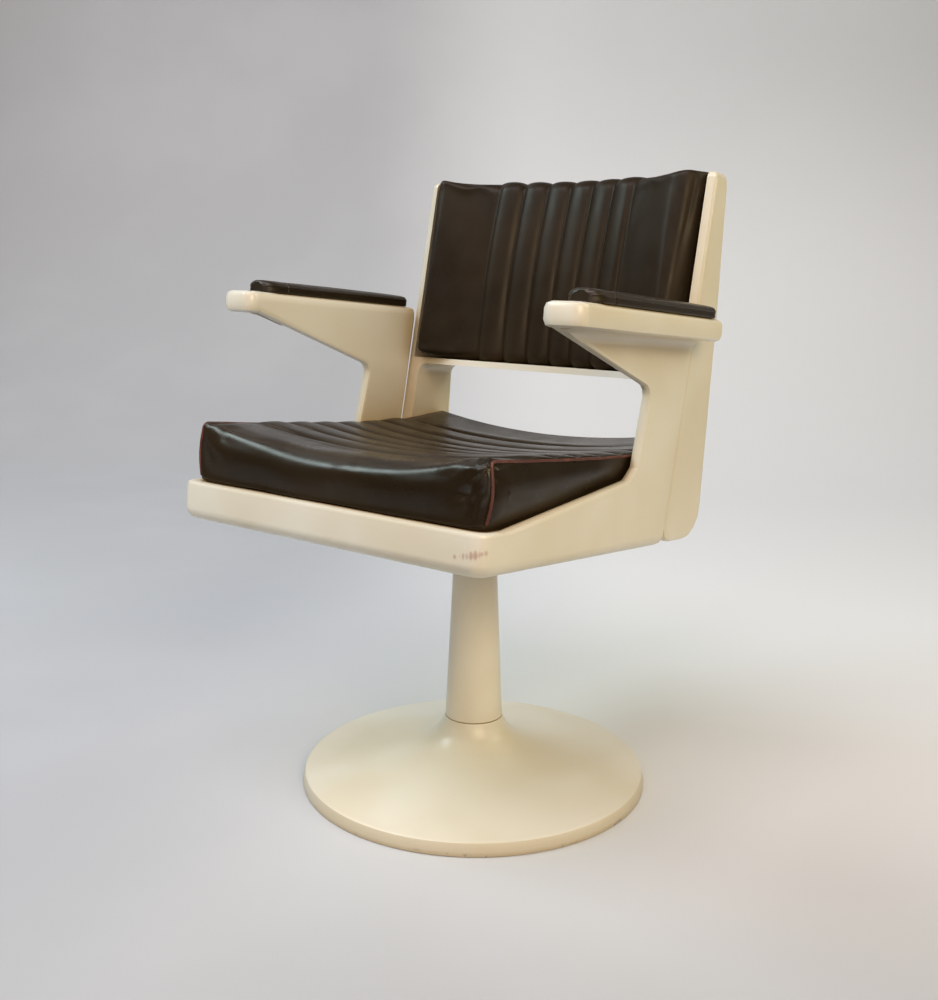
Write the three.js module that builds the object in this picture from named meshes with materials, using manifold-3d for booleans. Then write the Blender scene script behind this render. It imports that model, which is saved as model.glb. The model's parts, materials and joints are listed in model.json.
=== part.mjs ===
// A pedestal swivel armchair. A moulded shell carries the seat and the arms, a moulded frame carries
// the back, and both turn on a trumpet foot. The pads are covered in leatherette with sewn channels.
// Millimetres, +Z up, the front of the chair faces -Y. The origin is on the floor, on the swivel axis.
// Foot and stem stand upright. Shell, back and arms share one group, tilted back about the shell's
// underside, and their own places are given in that group: y to the rear, z up from the underside.
import * as THREE from 'three';
import { mergeVertices } from 'three/addons/utils/BufferGeometryUtils.js';
import Module from 'manifold-3d';

const wasm = await Module();
wasm.setup();

// Fits
const seatedGap = 0.3;
const runningGap = 0.06;
const curvedGap = 0.7;
const overrun = 4;

// Fineness: counts of facets
const footSteps = 48;
const shaftSteps = 32;
const washerSteps = 24;
const screwSteps = 10;
const edgeSteps = 2;
const cornerSteps = 4;

// Foot
const footRadius = 245;
const footRimHeight = 19;
const footRimFoot = 4;
const footRimLift = 0.8;
const footRimSlope = 5;
const footRimEdge = 0.8;
const footWall = 6;
const footLedge = 8;
const neckRadius = 41;
const neckHeight = 92;
const bossRadius = 30;
const bossBottom = 30;
const discThickness = 3;
// The top of the foot, from the neck to the rim: shares of its run outwards and of its rise
const footShares = [[0, 1], [0.025, 0.844], [0.075, 0.662], [0.17, 0.494],
  [0.345, 0.351], [0.595, 0.208], [0.87, 0.065], [1, 0]];
const footCurveSteps = 9;
const domeStride = 2;

// Ballast
const ballastInnerRadius = 75;
const ballastOuterRadius = 165;
const ballastHeight = 15;

// Stem and post
const stemLength = 253.7;
const stemBottomRadius = 40.5;
const stemTopRadius = 29.2;
const stemWall = 4;
const stemCollar = 10;
const postRadius = 20.7;
const postWall = 4.7;
const postFlangeRadius = 28;
const postFlangeThickness = 4;
const postWasherRadius = 36;
const postWasherThickness = 3;
const postNutRadius = 34;
const postNutHeight = 14;
const postTail = 3;

// Swivel
const spindleRadius = 12;
const spindleReach = 150;
const spindleChamfer = 1;
const clipPlace = 3;
const clipThickness = 2;
const clipBite = 1.5;
const clipStandOut = 2.8;
const bushLength = 30;
const bushFlangeRadius = 24;
const bushFlangeThickness = 3;
const thrustWasherRadius = 23;
const thrustWasherThickness = 1.5;

// Seat bracket and its bolts
const hubRadius = 27;
const hubHeight = 14.8;
const hubBoreDepth = 8;
const bracketSize = 170;
const bracketThickness = 6;
const bracketCorner = 14;
const bracketBoltSpacing = 130;
const boltRadius = 4;
const boltHeadRadius = 7.5;
const boltHeadHeight = 5.3;
const nutHeight = 6.5;
const boltTail = 1.5;

// Seat shell: a tray with a wide front and a narrower tail between the legs of the back frame
const seatTiltDegrees = 5.2;
const shellHalfWidth = 246.7;
const shellFront = 314;
const shellShoulder = 88;
const shellTail = 190;
const shellWall = 15;
const shellFloor = 8;
const shellRim = 50;
const shellTailRim = 44;
const shellRimRound = 5.5;
const shellBottomRound = 16;
const shellFrontCorner = 30;
const shellSmallCorner = 7;
const shellHollowCorner = 2;
const shellLeastRound = 1;
const shellRibHeight = 28;
const shellRibThickness = 6;
const shellRibSpread = 220;
const shellFrontRib = -150;
const shellRearRib = 105;

// Side panel: the rail climbs to a leaning post, and a gusset reaches forward under the armrest
const railFoot = -275;
const railEnd = -14;
const railTop = 93;
const railLap = 1;
const railTurn = 16;
const postFoot = 2;
const postFootHeight = 108;
const postHead = 20.5;
const postHeadHeight = 206.5;
const postHeadRound = 14;
const gussetFront = -202;
const gussetLip = 0.5;
const panelRearFoot = 88;
const panelRearTop = 119;
const panelRearRound = 8;

// Armrest
const armTop = 299;
const armThickness = 28.5;
const armFront = -223;
const armRear = 119.5;
const armWidth = 57.8;
const armFrontCorner = 17;
const armRearCorner = 9;
const armEdge = 8;
const armCove = 14;
const coveFront = -196;
const coveSteps = 4;

// Back frame
const frameHalfWidth = 242;
const frameTop = 494;
const frameBottom = 1.5;
const frameFrontFoot = 90;
const frameFrontTop = 151.5;
const frameRear = 197.5;
const frameRearTop = 192;
const frameRearBend = 300;
const frameEdge = 7;
const frameToeRound = 24;
const frameHeelRound = 44;
const frameCrownRound = 16;
const frameBrowRound = 10;
const legThickness = 24;
const cheekThickness = 12;
const barUnderside = 214.5;
const barTop = 223.5;
const openingCorner = 15;
const rearWall = 7;
const rearWallDrop = 5;
const rearBulge = 32;
const rearWallInset = 0.4;
const frameBoltFront = 125;
const frameBoltSpacing = 40;
const frameBoltHeight = 24;
const frameBoltBite = 14;

// Boards behind the pads
const seatBoardThickness = 12;
const seatBoardEase = 1;
const backBoardThickness = 6;
const backBoardEase = 4;

// Seat cushion
const cushionEase = 3.2;
const cushionRearInset = 12;
const cushionEdgeHeight = 127;
const cushionEdgeLow = 122.5;
const cushionEdgeRear = 139;
const cushionLowPlace = -25;
const cushionDish = 20;
const cushionFrontRoll = 32;
const cushionRearRoll = 18;
const cushionSideRoll = 3;
const cushionCornerRoll = 9;
const cushionBulge = 2;
const cushionDrawIn = 4;
const seatSeamFirst = -204;
const seatSeamPitch = 48.5;
const seatRibs = 6;
const seatRibCrown = 5;
const seatPanelCrown = 4;
const waistStart = 66;
const waistEnd = 84;

// Piping on the seat cushion
const pipingRadius = 2.3;
const pipingSides = 6;
const pipingSteps = 20;
const pipingFoot = 57;
const pipingLean = 8;
const pipingSetBack = 8;

// Back cushion: hollow from side to side, with proud corners
const backCornerInset = 38;
const backRearEase = 1.5;
const backProud = 26;
const backSagitta = 56;
const backSeamPitch = 38.4;
const backRibs = 6;
const backRibCrown = 5;
const backPanelCrown = 5;
const backRoll = 11;
const backTop = 491;
const backShoulder = 30;
const backPinch = 4;
const backBelly = 8;
const backSideBelly = 3.5;
const backRows = 7;

// Arm pads
const padWidth = 48;
const padInset = 4.5;
const padFront = -186;
const padRear = 106;
const padHeight = 15.5;
const padRoll = 5;
const padCrown = 1.5;
const padFrontCorner = 20;
const padRearCorner = 9;
const padSeamPlace = 38;
const padSeamDepth = 1.6;
const padBoardThickness = 4;
const padBoardInset = 6;
const padColumns = 6;
const padCapRows = 5;
const padRows = 7;
const clipWidth = 16;
const clipLength = 12.4;
const clipGauge = 1.2;
const armScrewRadius = 2.2;
const armScrewHeadRadius = 4.5;
const armScrewHeadHeight = 2.6;
const armScrewReach = 2.8;
const armScrewSink = 11;
const armScrewInset = 18;
const armScrewFront = -150;
const armScrewRear = 60;

// Heights that follow from the stack on the swivel axis
const stemTop = neckHeight + seatedGap + stemLength;
const flangeTop = stemTop + seatedGap + postFlangeThickness;
const bushTop = flangeTop + seatedGap + bushFlangeThickness;
const washerTop = bushTop + seatedGap + thrustWasherThickness;
const hubBottom = washerTop + seatedGap;
const shellHeight = hubBottom + hubHeight;
const spindleBottom = hubBottom - spindleReach;
const seatTilt = THREE.MathUtils.degToRad(seatTiltDegrees);

// Places that follow from the shell and the frame
const tailHalfWidth = frameHalfWidth - legThickness - seatedGap;
const panelInner = shellHalfWidth - shellWall;
const armBottom = armTop - armThickness;
const ribTop = shellFloor + shellRibHeight;
const seatBoardTop = ribTop + seatedGap + seatBoardThickness;
const cushionBottom = seatBoardTop + seatedGap;
const cushionHalfWidth = panelInner - cushionEase;
const cushionTailHalfWidth = frameHalfWidth - legThickness - cushionEase;
const cushionFront = -shellFront + shellWall + cushionEase;
const cushionRear = shellTail - cushionRearInset;
const seatSeamLast = seatSeamFirst + seatRibs * seatSeamPitch;
const backHalfWidth = frameHalfWidth - backCornerInset;
const backRearHalfWidth = frameHalfWidth - cheekThickness - backRearEase;
const backSeamFirst = -backSeamPitch * backRibs / 2;
const frameBoltPlaces = [frameBoltFront, frameBoltFront + frameBoltSpacing];
const armScrewPlaces = [armScrewFront, armScrewRear];

const lerp = THREE.MathUtils.lerp;
const evenly = (from, to, steps) => (
  Array.from({ length: steps + 1 }, (unused, step) => lerp(from, to, step / steps))
);
const smooth = (value, from, to) => THREE.MathUtils.smoothstep(value, from, to);

// Materials: one for each mesh
const looks = {
  cream: { color: '#dcd2ba', roughness: 0.34, metalness: 0 },
  leatherette: { color: '#33261d', roughness: 0.42, metalness: 0 },
  piping: { color: '#6f3324', roughness: 0.5, metalness: 0 },
  steel: { color: '#a9abad', roughness: 0.35, metalness: 0.9 },
  iron: { color: '#4a4a4b', roughness: 0.75, metalness: 0.6 },
  nylon: { color: '#e9e6da', roughness: 0.5, metalness: 0 },
  plywood: { color: '#b68d5a', roughness: 0.7, metalness: 0 },
  fibreboard: { color: '#5a4632', roughness: 0.9, metalness: 0 },
};

function piece(name, geometry, look) {
  const mesh = new THREE.Mesh(geometry, new THREE.MeshStandardMaterial(looks[look]));
  mesh.name = name;
  return mesh;
}

function signedVolume(geometry) {
  const places = geometry.getAttribute('position');
  const corner = (index) => new THREE.Vector3().fromBufferAttribute(places, geometry.index.getX(index));
  let volume = 0;
  for (let index = 0; index < geometry.index.count; index += 3) {
    volume += corner(index).dot(corner(index + 1).cross(corner(index + 2)));
  }
  return volume;
}

// One closed skin: shared vertices, no empty triangles, and faces that point outwards
function closed(geometry) {
  const bare = new THREE.BufferGeometry();
  bare.setAttribute('position', geometry.getAttribute('position'));
  bare.setIndex(geometry.index);
  const merged = mergeVertices(bare);
  const kept = [];
  for (let index = 0; index < merged.index.count; index += 3) {
    const [a, b, c] = [0, 1, 2].map((step) => merged.index.getX(index + step));
    if (a !== b && b !== c && c !== a) {
      kept.push(a, b, c);
    }
  }
  merged.setIndex(kept);
  if (signedVolume(merged) < 0) {
    merged.setIndex(kept.reverse());
  }
  merged.computeVertexNormals();
  return merged;
}

function solidOf(geometry) {
  const vertProperties = new Float32Array(geometry.getAttribute('position').array);
  const triVerts = new Uint32Array(geometry.index.array);
  return new wasm.Manifold(new wasm.Mesh({ numProp: 3, vertProperties, triVerts }));
}

function geometryOf(solid) {
  const { vertProperties, triVerts } = solid.getMesh();
  const geometry = new THREE.BufferGeometry();
  geometry.setAttribute('position', new THREE.BufferAttribute(vertProperties, 3));
  geometry.setIndex(new THREE.BufferAttribute(triVerts, 1));
  geometry.computeVertexNormals();
  return geometry;
}

const joined = (geometries) => geometryOf(geometries.map(solidOf).reduce((body, more) => body.add(more)));
const cut = (geometry, tools) => geometryOf(
  tools.map(solidOf).reduce((body, tool) => body.subtract(tool), solidOf(geometry)),
);
const common = (first, second) => geometryOf(solidOf(first).intersect(solidOf(second)));

function mirrored(geometry) {
  return closed(geometry.clone().scale(-1, 1, 1));
}

// A closed loop through corners [x, y, radius], each rounded by an arc; points know their corner
function roundedLoop(corners, steps = cornerSteps) {
  const loop = [];
  corners.forEach(([x, y, radius], index) => {
    const tip = new THREE.Vector2(x, y);
    const before = new THREE.Vector2(...corners.at(index - 1)).sub(tip);
    const after = new THREE.Vector2(...corners[(index + 1) % corners.length]).sub(tip);
    const room = Math.min(before.length(), after.length()) / 2;
    const turn = Math.sign(after.cross(before));
    before.normalize();
    after.normalize();
    const halfAngle = Math.acos(THREE.MathUtils.clamp(before.dot(after), -1, 1)) / 2;
    const reach = Math.min(radius / Math.tan(halfAngle), room);
    if (radius === 0) {
      loop.push(Object.assign(tip, { corner: index }));
      return;
    }
    const centre = before.clone().add(after).setLength(reach / Math.cos(halfAngle)).add(tip);
    const start = before.clone().multiplyScalar(reach).add(tip);
    for (let step = 0; step <= steps; step += 1) {
      const angle = turn * (Math.PI - 2 * halfAngle) * step / steps;
      loop.push(Object.assign(start.clone().rotateAround(centre, angle), { corner: index }));
    }
  });
  return loop;
}

// A loop drawn across an axis and drawn out along it, with rounded end edges if an edge is given
const axisFrames = {
  x: [new THREE.Vector3(0, 1, 0), new THREE.Vector3(0, 0, 1), new THREE.Vector3(1, 0, 0)],
  y: [new THREE.Vector3(1, 0, 0), new THREE.Vector3(0, 0, 1), new THREE.Vector3(0, -1, 0)],
  z: [new THREE.Vector3(1, 0, 0), new THREE.Vector3(0, 1, 0), new THREE.Vector3(0, 0, 1)],
};

function extruded(loop, axis, from, to, edge = 0, holes = []) {
  const shape = new THREE.Shape(loop);
  shape.holes = holes.map((hole) => new THREE.Path(hole));
  const geometry = new THREE.ExtrudeGeometry(shape, {
    depth: to - from - 2 * edge,
    bevelEnabled: edge > 0,
    bevelThickness: edge,
    bevelSize: edge,
    bevelOffset: -edge,
    bevelSegments: edgeSteps,
  });
  const start = axis === 'y' ? -to : from;
  geometry.translate(0, 0, start + edge);
  return closed(geometry.applyMatrix4(new THREE.Matrix4().makeBasis(...axisFrames[axis])));
}

const rectangle = (left, right, low, high) => [
  [left, low, 0], [right, low, 0], [right, high, 0], [left, high, 0],
];

function circle(x, y, radius, steps = screwSteps) {
  return new THREE.EllipseCurve(x, y, radius, radius, 0, 2 * Math.PI).getPoints(steps).slice(1);
}

// A turned piece: [radius, height] points that start and end on the axis, or are closed to a ring
function turned(profile, steps) {
  const points = profile.map(([radius, height]) => new THREE.Vector2(radius, height));
  return closed(new THREE.LatheGeometry(points, steps).rotateX(Math.PI / 2));
}

const ring = (profile, steps) => turned([...profile, profile[0]], steps);
const tube = (inner, outer, low, high, steps) => ring(
  [[inner, low], [outer, low], [outer, high], [inner, high]],
  steps,
);

function triangulated(points, outwards) {
  const faces = THREE.ShapeUtils.triangulateShape(points, []);
  const turn = Math.sign(THREE.ShapeUtils.area(points)) * outwards;
  return faces.map(([a, b, c]) => {
    const facing = Math.sign(THREE.ShapeUtils.area([points[a], points[b], points[c]]));
    return facing === turn ? [a, b, c] : [a, c, b];
  });
}

// A skin through rings of [x, y, z] points, closed at both ends; flat names the two axes of the ends
function lofted(rings, flat) {
  const count = rings[0].length;
  const faces = [];
  for (let level = 0; level + 1 < rings.length; level += 1) {
    for (let place = 0; place < count; place += 1) {
      const next = (place + 1) % count;
      const [a, b] = [level * count + place, level * count + next];
      faces.push([a, b, b + count], [a, b + count, a + count]);
    }
  }
  const flattened = (points) => points.map((at) => new THREE.Vector2(at[flat[0]], at[flat[1]]));
  const last = (rings.length - 1) * count;
  faces.push(...triangulated(flattened(rings[0]), -1));
  faces.push(...triangulated(flattened(rings.at(-1)), 1).map((face) => face.map((corner) => corner + last)));
  return skinned(rings.flat(), faces);
}

function skinned(points, faces) {
  const geometry = new THREE.BufferGeometry();
  geometry.setAttribute('position', new THREE.Float32BufferAttribute(points.flat(), 3));
  geometry.setIndex(faces.flat());
  return closed(geometry);
}

// A pad: a grid of face points, walls round its edge, and an underside that is flat or a grid too
function padSkin(columns, rows, facePoint, wallRings, underPoint = null) {
  const points = [];
  const faces = [];
  const width = columns + 1;
  for (let row = 0; row <= rows; row += 1) {
    for (let column = 0; column <= columns; column += 1) {
      points.push(facePoint(column, row));
    }
  }
  for (let row = 0; row < rows; row += 1) {
    for (let column = 0; column < columns; column += 1) {
      const a = row * width + column;
      faces.push([a, a + 1, a + width + 1], [a, a + width + 1, a + width]);
    }
  }
  const edge = edgeCells(columns, rows);
  let upper = edge.map(([column, row]) => row * width + column);
  wallRings.forEach((wallPoint) => {
    const lower = edge.map(([column, row], index) => {
      points.push(wallPoint(column, row, points[upper[index]]));
      return points.length - 1;
    });
    edge.forEach((cell, index) => {
      const next = (index + 1) % edge.length;
      faces.push([upper[next], upper[index], lower[index]], [upper[next], lower[index], lower[next]]);
    });
    upper = lower;
  });
  if (underPoint) {
    faces.push(...underGrid(columns, rows, edge, upper, points, underPoint));
  } else {
    const flat = upper.map((index) => new THREE.Vector2(points[index][0], points[index][1]));
    faces.push(...triangulated(flat, -1).map((face) => face.map((corner) => upper[corner])));
  }
  return skinned(points, faces);
}

// The cells on the edge of a grid, once round
function edgeCells(columns, rows) {
  const cells = [];
  for (let column = 0; column < columns; column += 1) {
    cells.push([column, 0]);
  }
  for (let row = 0; row < rows; row += 1) {
    cells.push([columns, row]);
  }
  for (let column = columns; column > 0; column -= 1) {
    cells.push([column, rows]);
  }
  for (let row = rows; row > 0; row -= 1) {
    cells.push([0, row]);
  }
  return cells;
}

function underGrid(columns, rows, edge, lowest, points, underPoint) {
  const known = new Map(edge.map(([column, row], index) => [`${column} ${row}`, lowest[index]]));
  const vertex = (column, row) => {
    const key = `${column} ${row}`;
    if (!known.has(key)) {
      points.push(underPoint(column, row));
      known.set(key, points.length - 1);
    }
    return known.get(key);
  };
  const faces = [];
  for (let row = 0; row < rows; row += 1) {
    for (let column = 0; column < columns; column += 1) {
      const [a, b] = [vertex(column, row), vertex(column + 1, row)];
      const [c, d] = [vertex(column + 1, row + 1), vertex(column, row + 1)];
      faces.push([a, c, b], [a, d, c]);
    }
  }
  return faces;
}

// Which way is out at a cell on the edge of a grid: -1, 0 or 1 in each direction
function outwardAt(column, row, columns, rows) {
  const across = column === 0 ? -1 : Number(column === columns);
  const along = row === 0 ? -1 : Number(row === rows);
  return [across, along];
}

// Places across a run of ribs: each rib has its seam, two flanks and its crest
const ribShares = [0, 0.2, 0.5, 0.8];

function ribPlaces(start, pitch, ribs) {
  const places = [];
  for (let rib = 0; rib < ribs; rib += 1) {
    ribShares.forEach((share) => places.push(start + (rib + share) * pitch));
  }
  return places;
}

const spread = (from, to, shares) => shares.map((share) => lerp(from, to, share));

// Height of the crown over its seams at a place, for ribs between plain panels
function crown(place, from, first, pitch, ribs, to, ribCrown, panelCrown) {
  const last = first + ribs * pitch;
  if (place < first) {
    return panelCrown * Math.sin(Math.PI * (place - from) / (first - from));
  }
  if (place > last) {
    return panelCrown * Math.sin(Math.PI * (place - last) / (to - last));
  }
  const share = (place - first) / pitch;
  return ribCrown * Math.abs(Math.sin(Math.PI * share));
}

// Foot

function footSurface() {
  const run = footRadius - footRimSlope - neckRadius;
  const rise = neckHeight - footRimHeight;
  const points = footShares.map(
    ([out, up]) => new THREE.Vector2(neckRadius + out * run, footRimHeight + up * rise),
  );
  return new THREE.SplineCurve(points).getPoints(footCurveSteps).map((at) => [at.x, at.y]);
}

function foot() {
  const surface = footSurface();
  const rim = [
    [footRadius - footRimSlope + footRimEdge, footRimHeight - footRimEdge],
    [footRadius, footRimFoot],
    [footRadius, footRimLift],
  ];
  const discTop = discThickness + seatedGap;
  const ledge = [
    [footRadius - footWall, footRimLift],
    [footRadius - footWall, discTop],
    [footRadius - footWall - footLedge, discTop],
  ];
  const innerLimit = footRadius - footWall - footLedge;
  const dome = surface
    .filter(([radius]) => radius < innerLimit && radius > bossRadius + footWall + footLedge)
    .map(([radius, height]) => [radius, height - footWall])
    .filter((point, index) => index % domeStride === 0);
  dome.reverse();
  const bore = postRadius + seatedGap;
  const boss = [
    [bossRadius, dome.at(-1)[1]],
    [bossRadius, bossBottom],
    [bore, bossBottom],
    [bore, neckHeight],
  ];
  return ring([...surface, ...rim, ...ledge, ...dome, ...boss], footSteps);
}

function floorDisc() {
  const radius = footRadius - footWall - seatedGap;
  return turned([[0, 0], [radius, 0], [radius, discThickness], [0, discThickness]], footSteps);
}

function ballastRing() {
  const bottom = discThickness + seatedGap;
  return tube(ballastInnerRadius, ballastOuterRadius, bottom, bottom + ballastHeight, washerSteps);
}

// Stem, post and swivel

function stem() {
  const bottom = neckHeight + seatedGap;
  const collarBore = postRadius + seatedGap;
  const lowBore = stemBottomRadius - stemWall;
  const highBore = stemTopRadius - stemWall;
  const collarBottom = stemTop - stemCollar;
  return ring([
    [stemBottomRadius, bottom],
    [stemTopRadius, stemTop],
    [collarBore, stemTop],
    [collarBore, collarBottom],
    [highBore, collarBottom],
    [lowBore, bottom],
  ], shaftSteps);
}

const washerHeight = bossBottom - seatedGap - postWasherThickness;
const postNutTop = washerHeight - seatedGap;
const postNutBottom = postNutTop - postNutHeight;

function post() {
  const bore = postRadius - postWall;
  const flangeBottom = stemTop + seatedGap;
  const bottom = postNutBottom - postTail;
  return ring([
    [bore, bottom],
    [postRadius, bottom],
    [postRadius, flangeBottom],
    [postFlangeRadius, flangeBottom],
    [postFlangeRadius, flangeTop],
    [bore, flangeTop],
  ], shaftSteps);
}

function postWasher() {
  const bore = postRadius + seatedGap;
  return tube(bore, postWasherRadius, washerHeight, washerHeight + postWasherThickness, washerSteps);
}

const hexagon = (x, y, radius) => circle(x, y, radius, 6);

function postNut() {
  const bore = circle(0, 0, postRadius + seatedGap, washerSteps);
  return extruded(hexagon(0, 0, postNutRadius), 'z', postNutBottom, postNutTop, 0, [bore]);
}

const bushBore = spindleRadius + runningGap;
const bushRadius = postRadius - postWall - seatedGap;

function upperBush() {
  return ring([
    [bushBore, flangeTop - bushLength],
    [bushRadius, flangeTop - bushLength],
    [bushRadius, flangeTop + seatedGap],
    [bushFlangeRadius, flangeTop + seatedGap],
    [bushFlangeRadius, bushTop],
    [bushBore, bushTop],
  ], shaftSteps);
}

const grooveBottom = spindleBottom + clipPlace;
const grooveTop = grooveBottom + clipThickness + 2 * seatedGap;
const grooveRadius = spindleRadius - clipBite;

function lowerBush() {
  const bottom = grooveTop + seatedGap;
  return tube(bushBore, bushRadius, bottom, bottom + bushLength, shaftSteps);
}

function spindle() {
  const top = hubBottom + hubBoreDepth - seatedGap;
  return turned([
    [0, spindleBottom],
    [spindleRadius - spindleChamfer, spindleBottom],
    [spindleRadius, spindleBottom + spindleChamfer],
    [spindleRadius, grooveBottom],
    [grooveRadius, grooveBottom],
    [grooveRadius, grooveTop],
    [spindleRadius, grooveTop],
    [spindleRadius, top],
    [0, top],
  ], shaftSteps);
}

function spindleClip() {
  const bottom = grooveBottom + seatedGap;
  const outer = spindleRadius + clipStandOut;
  return tube(grooveRadius + seatedGap, outer, bottom, bottom + clipThickness, washerSteps);
}

function thrustWasher() {
  const bottom = washerTop - thrustWasherThickness;
  return tube(spindleRadius + seatedGap, thrustWasherRadius, bottom, washerTop, washerSteps);
}

// The four bolts that hold the shell on its bracket, as [x, y] in the tilted group
const bracketBoltPlaces = [[-1, -1], [1, -1], [-1, 1], [1, 1]].map(
  (signs) => signs.map((sign) => sign * bracketBoltSpacing / 2),
);
const boltHoles = bracketBoltPlaces.map(([x, y]) => circle(x, y, boltRadius + seatedGap));
const plateBottom = -seatedGap - bracketThickness;

function tiltedToFloor(geometry) {
  return geometry.rotateX(-seatTilt).translate(0, 0, shellHeight);
}

function seatBracket() {
  const reach = bracketSize / 2;
  const square = [[-reach, -reach], [reach, -reach], [reach, reach], [-reach, reach]];
  const outline = roundedLoop(square.map(([x, y]) => [x, y, bracketCorner]));
  const plate = extruded(outline, 'z', plateBottom, -seatedGap, 0, boltHoles);
  const keep = extruded(outline, 'z', -bracketSize, -seatedGap);
  const hub = extruded(circle(0, 0, hubRadius, washerSteps), 'z', hubBottom, shellHeight + hubHeight);
  const boreEnd = hubBottom + hubBoreDepth;
  const boreLoop = circle(0, 0, spindleRadius + seatedGap, washerSteps);
  const bore = extruded(boreLoop, 'z', hubBottom - overrun, boreEnd);
  const body = joined([tiltedToFloor(plate), common(hub, tiltedToFloor(keep))]);
  return cut(body, [bore]);
}

// A bolt with a six-sided head, its underside at the origin and its shank pointing up
function bolt(radius, length, headRadius, headHeight) {
  const head = extruded(hexagon(0, 0, headRadius), 'z', -headHeight, 0);
  const shank = extruded(circle(0, 0, radius), 'z', -headHeight / 2, length);
  return joined([head, shank]);
}

function bracketBolts() {
  const head = plateBottom - seatedGap;
  const length = shellFloor + seatedGap + nutHeight + boltTail - head;
  return bracketBoltPlaces.map(([x, y], index) => {
    const body = bolt(boltRadius, length, boltHeadRadius, boltHeadHeight);
    const mesh = piece(`seat_bolt_${index + 1}`, body, 'steel');
    mesh.position.set(x, y, head);
    return mesh;
  });
}

function bracketNuts() {
  return bracketBoltPlaces.map(([x, y], index) => {
    const hole = circle(0, 0, boltRadius + seatedGap);
    const nut = extruded(hexagon(0, 0, boltHeadRadius), 'z', 0, nutHeight, 0, [hole]);
    const mesh = piece(`seat_nut_${index + 1}`, nut, 'steel');
    mesh.position.set(x, y, shellFloor + seatedGap);
    return mesh;
  });
}

// Seat shell

const railLow = railTop - railLap;

// Height of the tray's wall at each corner of its outline
const trayHeights = [
  shellRim, shellRim, shellRim, railLow, railLow,
  shellTailRim, shellTailRim, shellTailRim, shellTailRim,
  railLow, railLow, shellRim,
];

// The tray's outline seen from above, moved inwards by an inset
function trayLoop(inset) {
  const wide = shellHalfWidth - inset;
  const narrow = tailHalfWidth - inset;
  const front = -shellFront + inset;
  const shoulder = shellShoulder - inset;
  const tail = shellTail - inset;
  const big = Math.max(shellFrontCorner - inset, shellLeastRound);
  const small = Math.max(shellSmallCorner - inset, shellLeastRound);
  const hollow = shellHollowCorner + inset;
  return roundedLoop([
    [-wide, front, big],
    [wide, front, big],
    [wide, railFoot, 0],
    [wide, railEnd, 0],
    [wide, shoulder, small],
    [narrow, shoulder, hollow],
    [narrow, tail, small],
    [-narrow, tail, small],
    [-narrow, shoulder, hollow],
    [-wide, shoulder, small],
    [-wide, railEnd, 0],
    [-wide, railFoot, 0],
  ]);
}

// Rings of the tray's skin: level at a height, or following the rim at a depth below it
const levelRing = (inset, height) => trayLoop(inset).map((at) => [at.x, at.y, height]);
const rimRing = (inset, depth) => trayLoop(inset).map((at) => [at.x, at.y, trayHeights[at.corner] - depth]);

const quarter = (steps) => evenly(0, Math.PI / 2, steps);

function trayBody() {
  const rings = [];
  quarter(cornerSteps).forEach((angle) => {
    rings.push(levelRing(shellBottomRound * (1 - Math.sin(angle)), shellBottomRound * (1 - Math.cos(angle))));
  });
  quarter(edgeSteps).forEach((angle) => {
    rings.push(rimRing(shellRimRound * (1 - Math.cos(angle)), shellRimRound * (1 - Math.sin(angle))));
  });
  quarter(edgeSteps).forEach((angle) => {
    const inset = shellWall - shellRimRound * (1 - Math.sin(angle));
    rings.push(rimRing(inset, shellRimRound * (1 - Math.cos(angle))));
  });
  rings.push(levelRing(shellWall, shellFloor));
  return lofted(rings, [0, 1]);
}

function panelOutline() {
  const bottom = shellBottomRound + overrun;
  const armMiddle = armTop - armEdge;
  return roundedLoop([
    [railFoot, bottom, 0],
    [panelRearFoot, bottom, 0],
    [panelRearTop, armMiddle, panelRearRound],
    [gussetFront, armMiddle, 0],
    [gussetFront, armBottom + gussetLip, 0],
    [postHead, postHeadHeight, postHeadRound],
    [postFoot, postFootHeight, 0],
    [railEnd, railTop, railTurn],
    [railFoot, shellRim, 0],
  ]);
}

function armSlab() {
  const outer = panelInner + armWidth;
  const outline = roundedLoop([
    [panelInner, armFront, armFrontCorner],
    [outer, armFront, armFrontCorner],
    [outer, armRear, armRearCorner],
    [panelInner, armRear, armRearCorner],
  ]);
  return extruded(outline, 'z', armBottom, armTop, armEdge);
}

// The hollow fillet between the underside of the armrest and the outside of the panel
function armFillet() {
  const wall = shellHalfWidth - seatedGap;
  const high = armBottom + seatedGap;
  const centreX = shellHalfWidth + armCove;
  const centreZ = armBottom - armCove;
  const arc = quarter(coveSteps).map(
    (angle) => new THREE.Vector2(centreX - armCove * Math.cos(angle), centreZ + armCove * Math.sin(angle)),
  );
  const loop = [new THREE.Vector2(wall, centreZ), ...arc, new THREE.Vector2(centreX, high)];
  loop.push(new THREE.Vector2(wall, high));
  return extruded(loop, 'y', coveFront, panelRearTop - armEdge);
}

function sidePanel() {
  return extruded(panelOutline(), 'x', panelInner, shellHalfWidth, shellRimRound);
}

function filletUnderArm() {
  const reach = extruded(panelOutline(), 'x', panelInner, shellHalfWidth + armCove + overrun);
  return common(armFillet(), reach);
}

function shellRibs() {
  const low = shellFloor - overrun;
  const half = shellRibThickness / 2;
  const front = -shellFront + shellWall / 2;
  const rear = shellTail - shellWall / 2;
  const side = shellHalfWidth - shellWall / 2;
  const tailSide = tailHalfWidth - shellWall / 2;
  const lengthwise = [-1, 1].map((sign) => {
    const place = sign * shellRibSpread / 2;
    return extruded(roundedLoop(rectangle(place - half, place + half, front, rear)), 'z', low, ribTop);
  });
  const crosswise = [[shellFrontRib, side], [shellRearRib, tailSide]].map(([place, reach]) => (
    extruded(roundedLoop(rectangle(-reach, reach, place - half, place + half)), 'z', low, ribTop)
  ));
  return [...lengthwise, ...crosswise];
}

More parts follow.
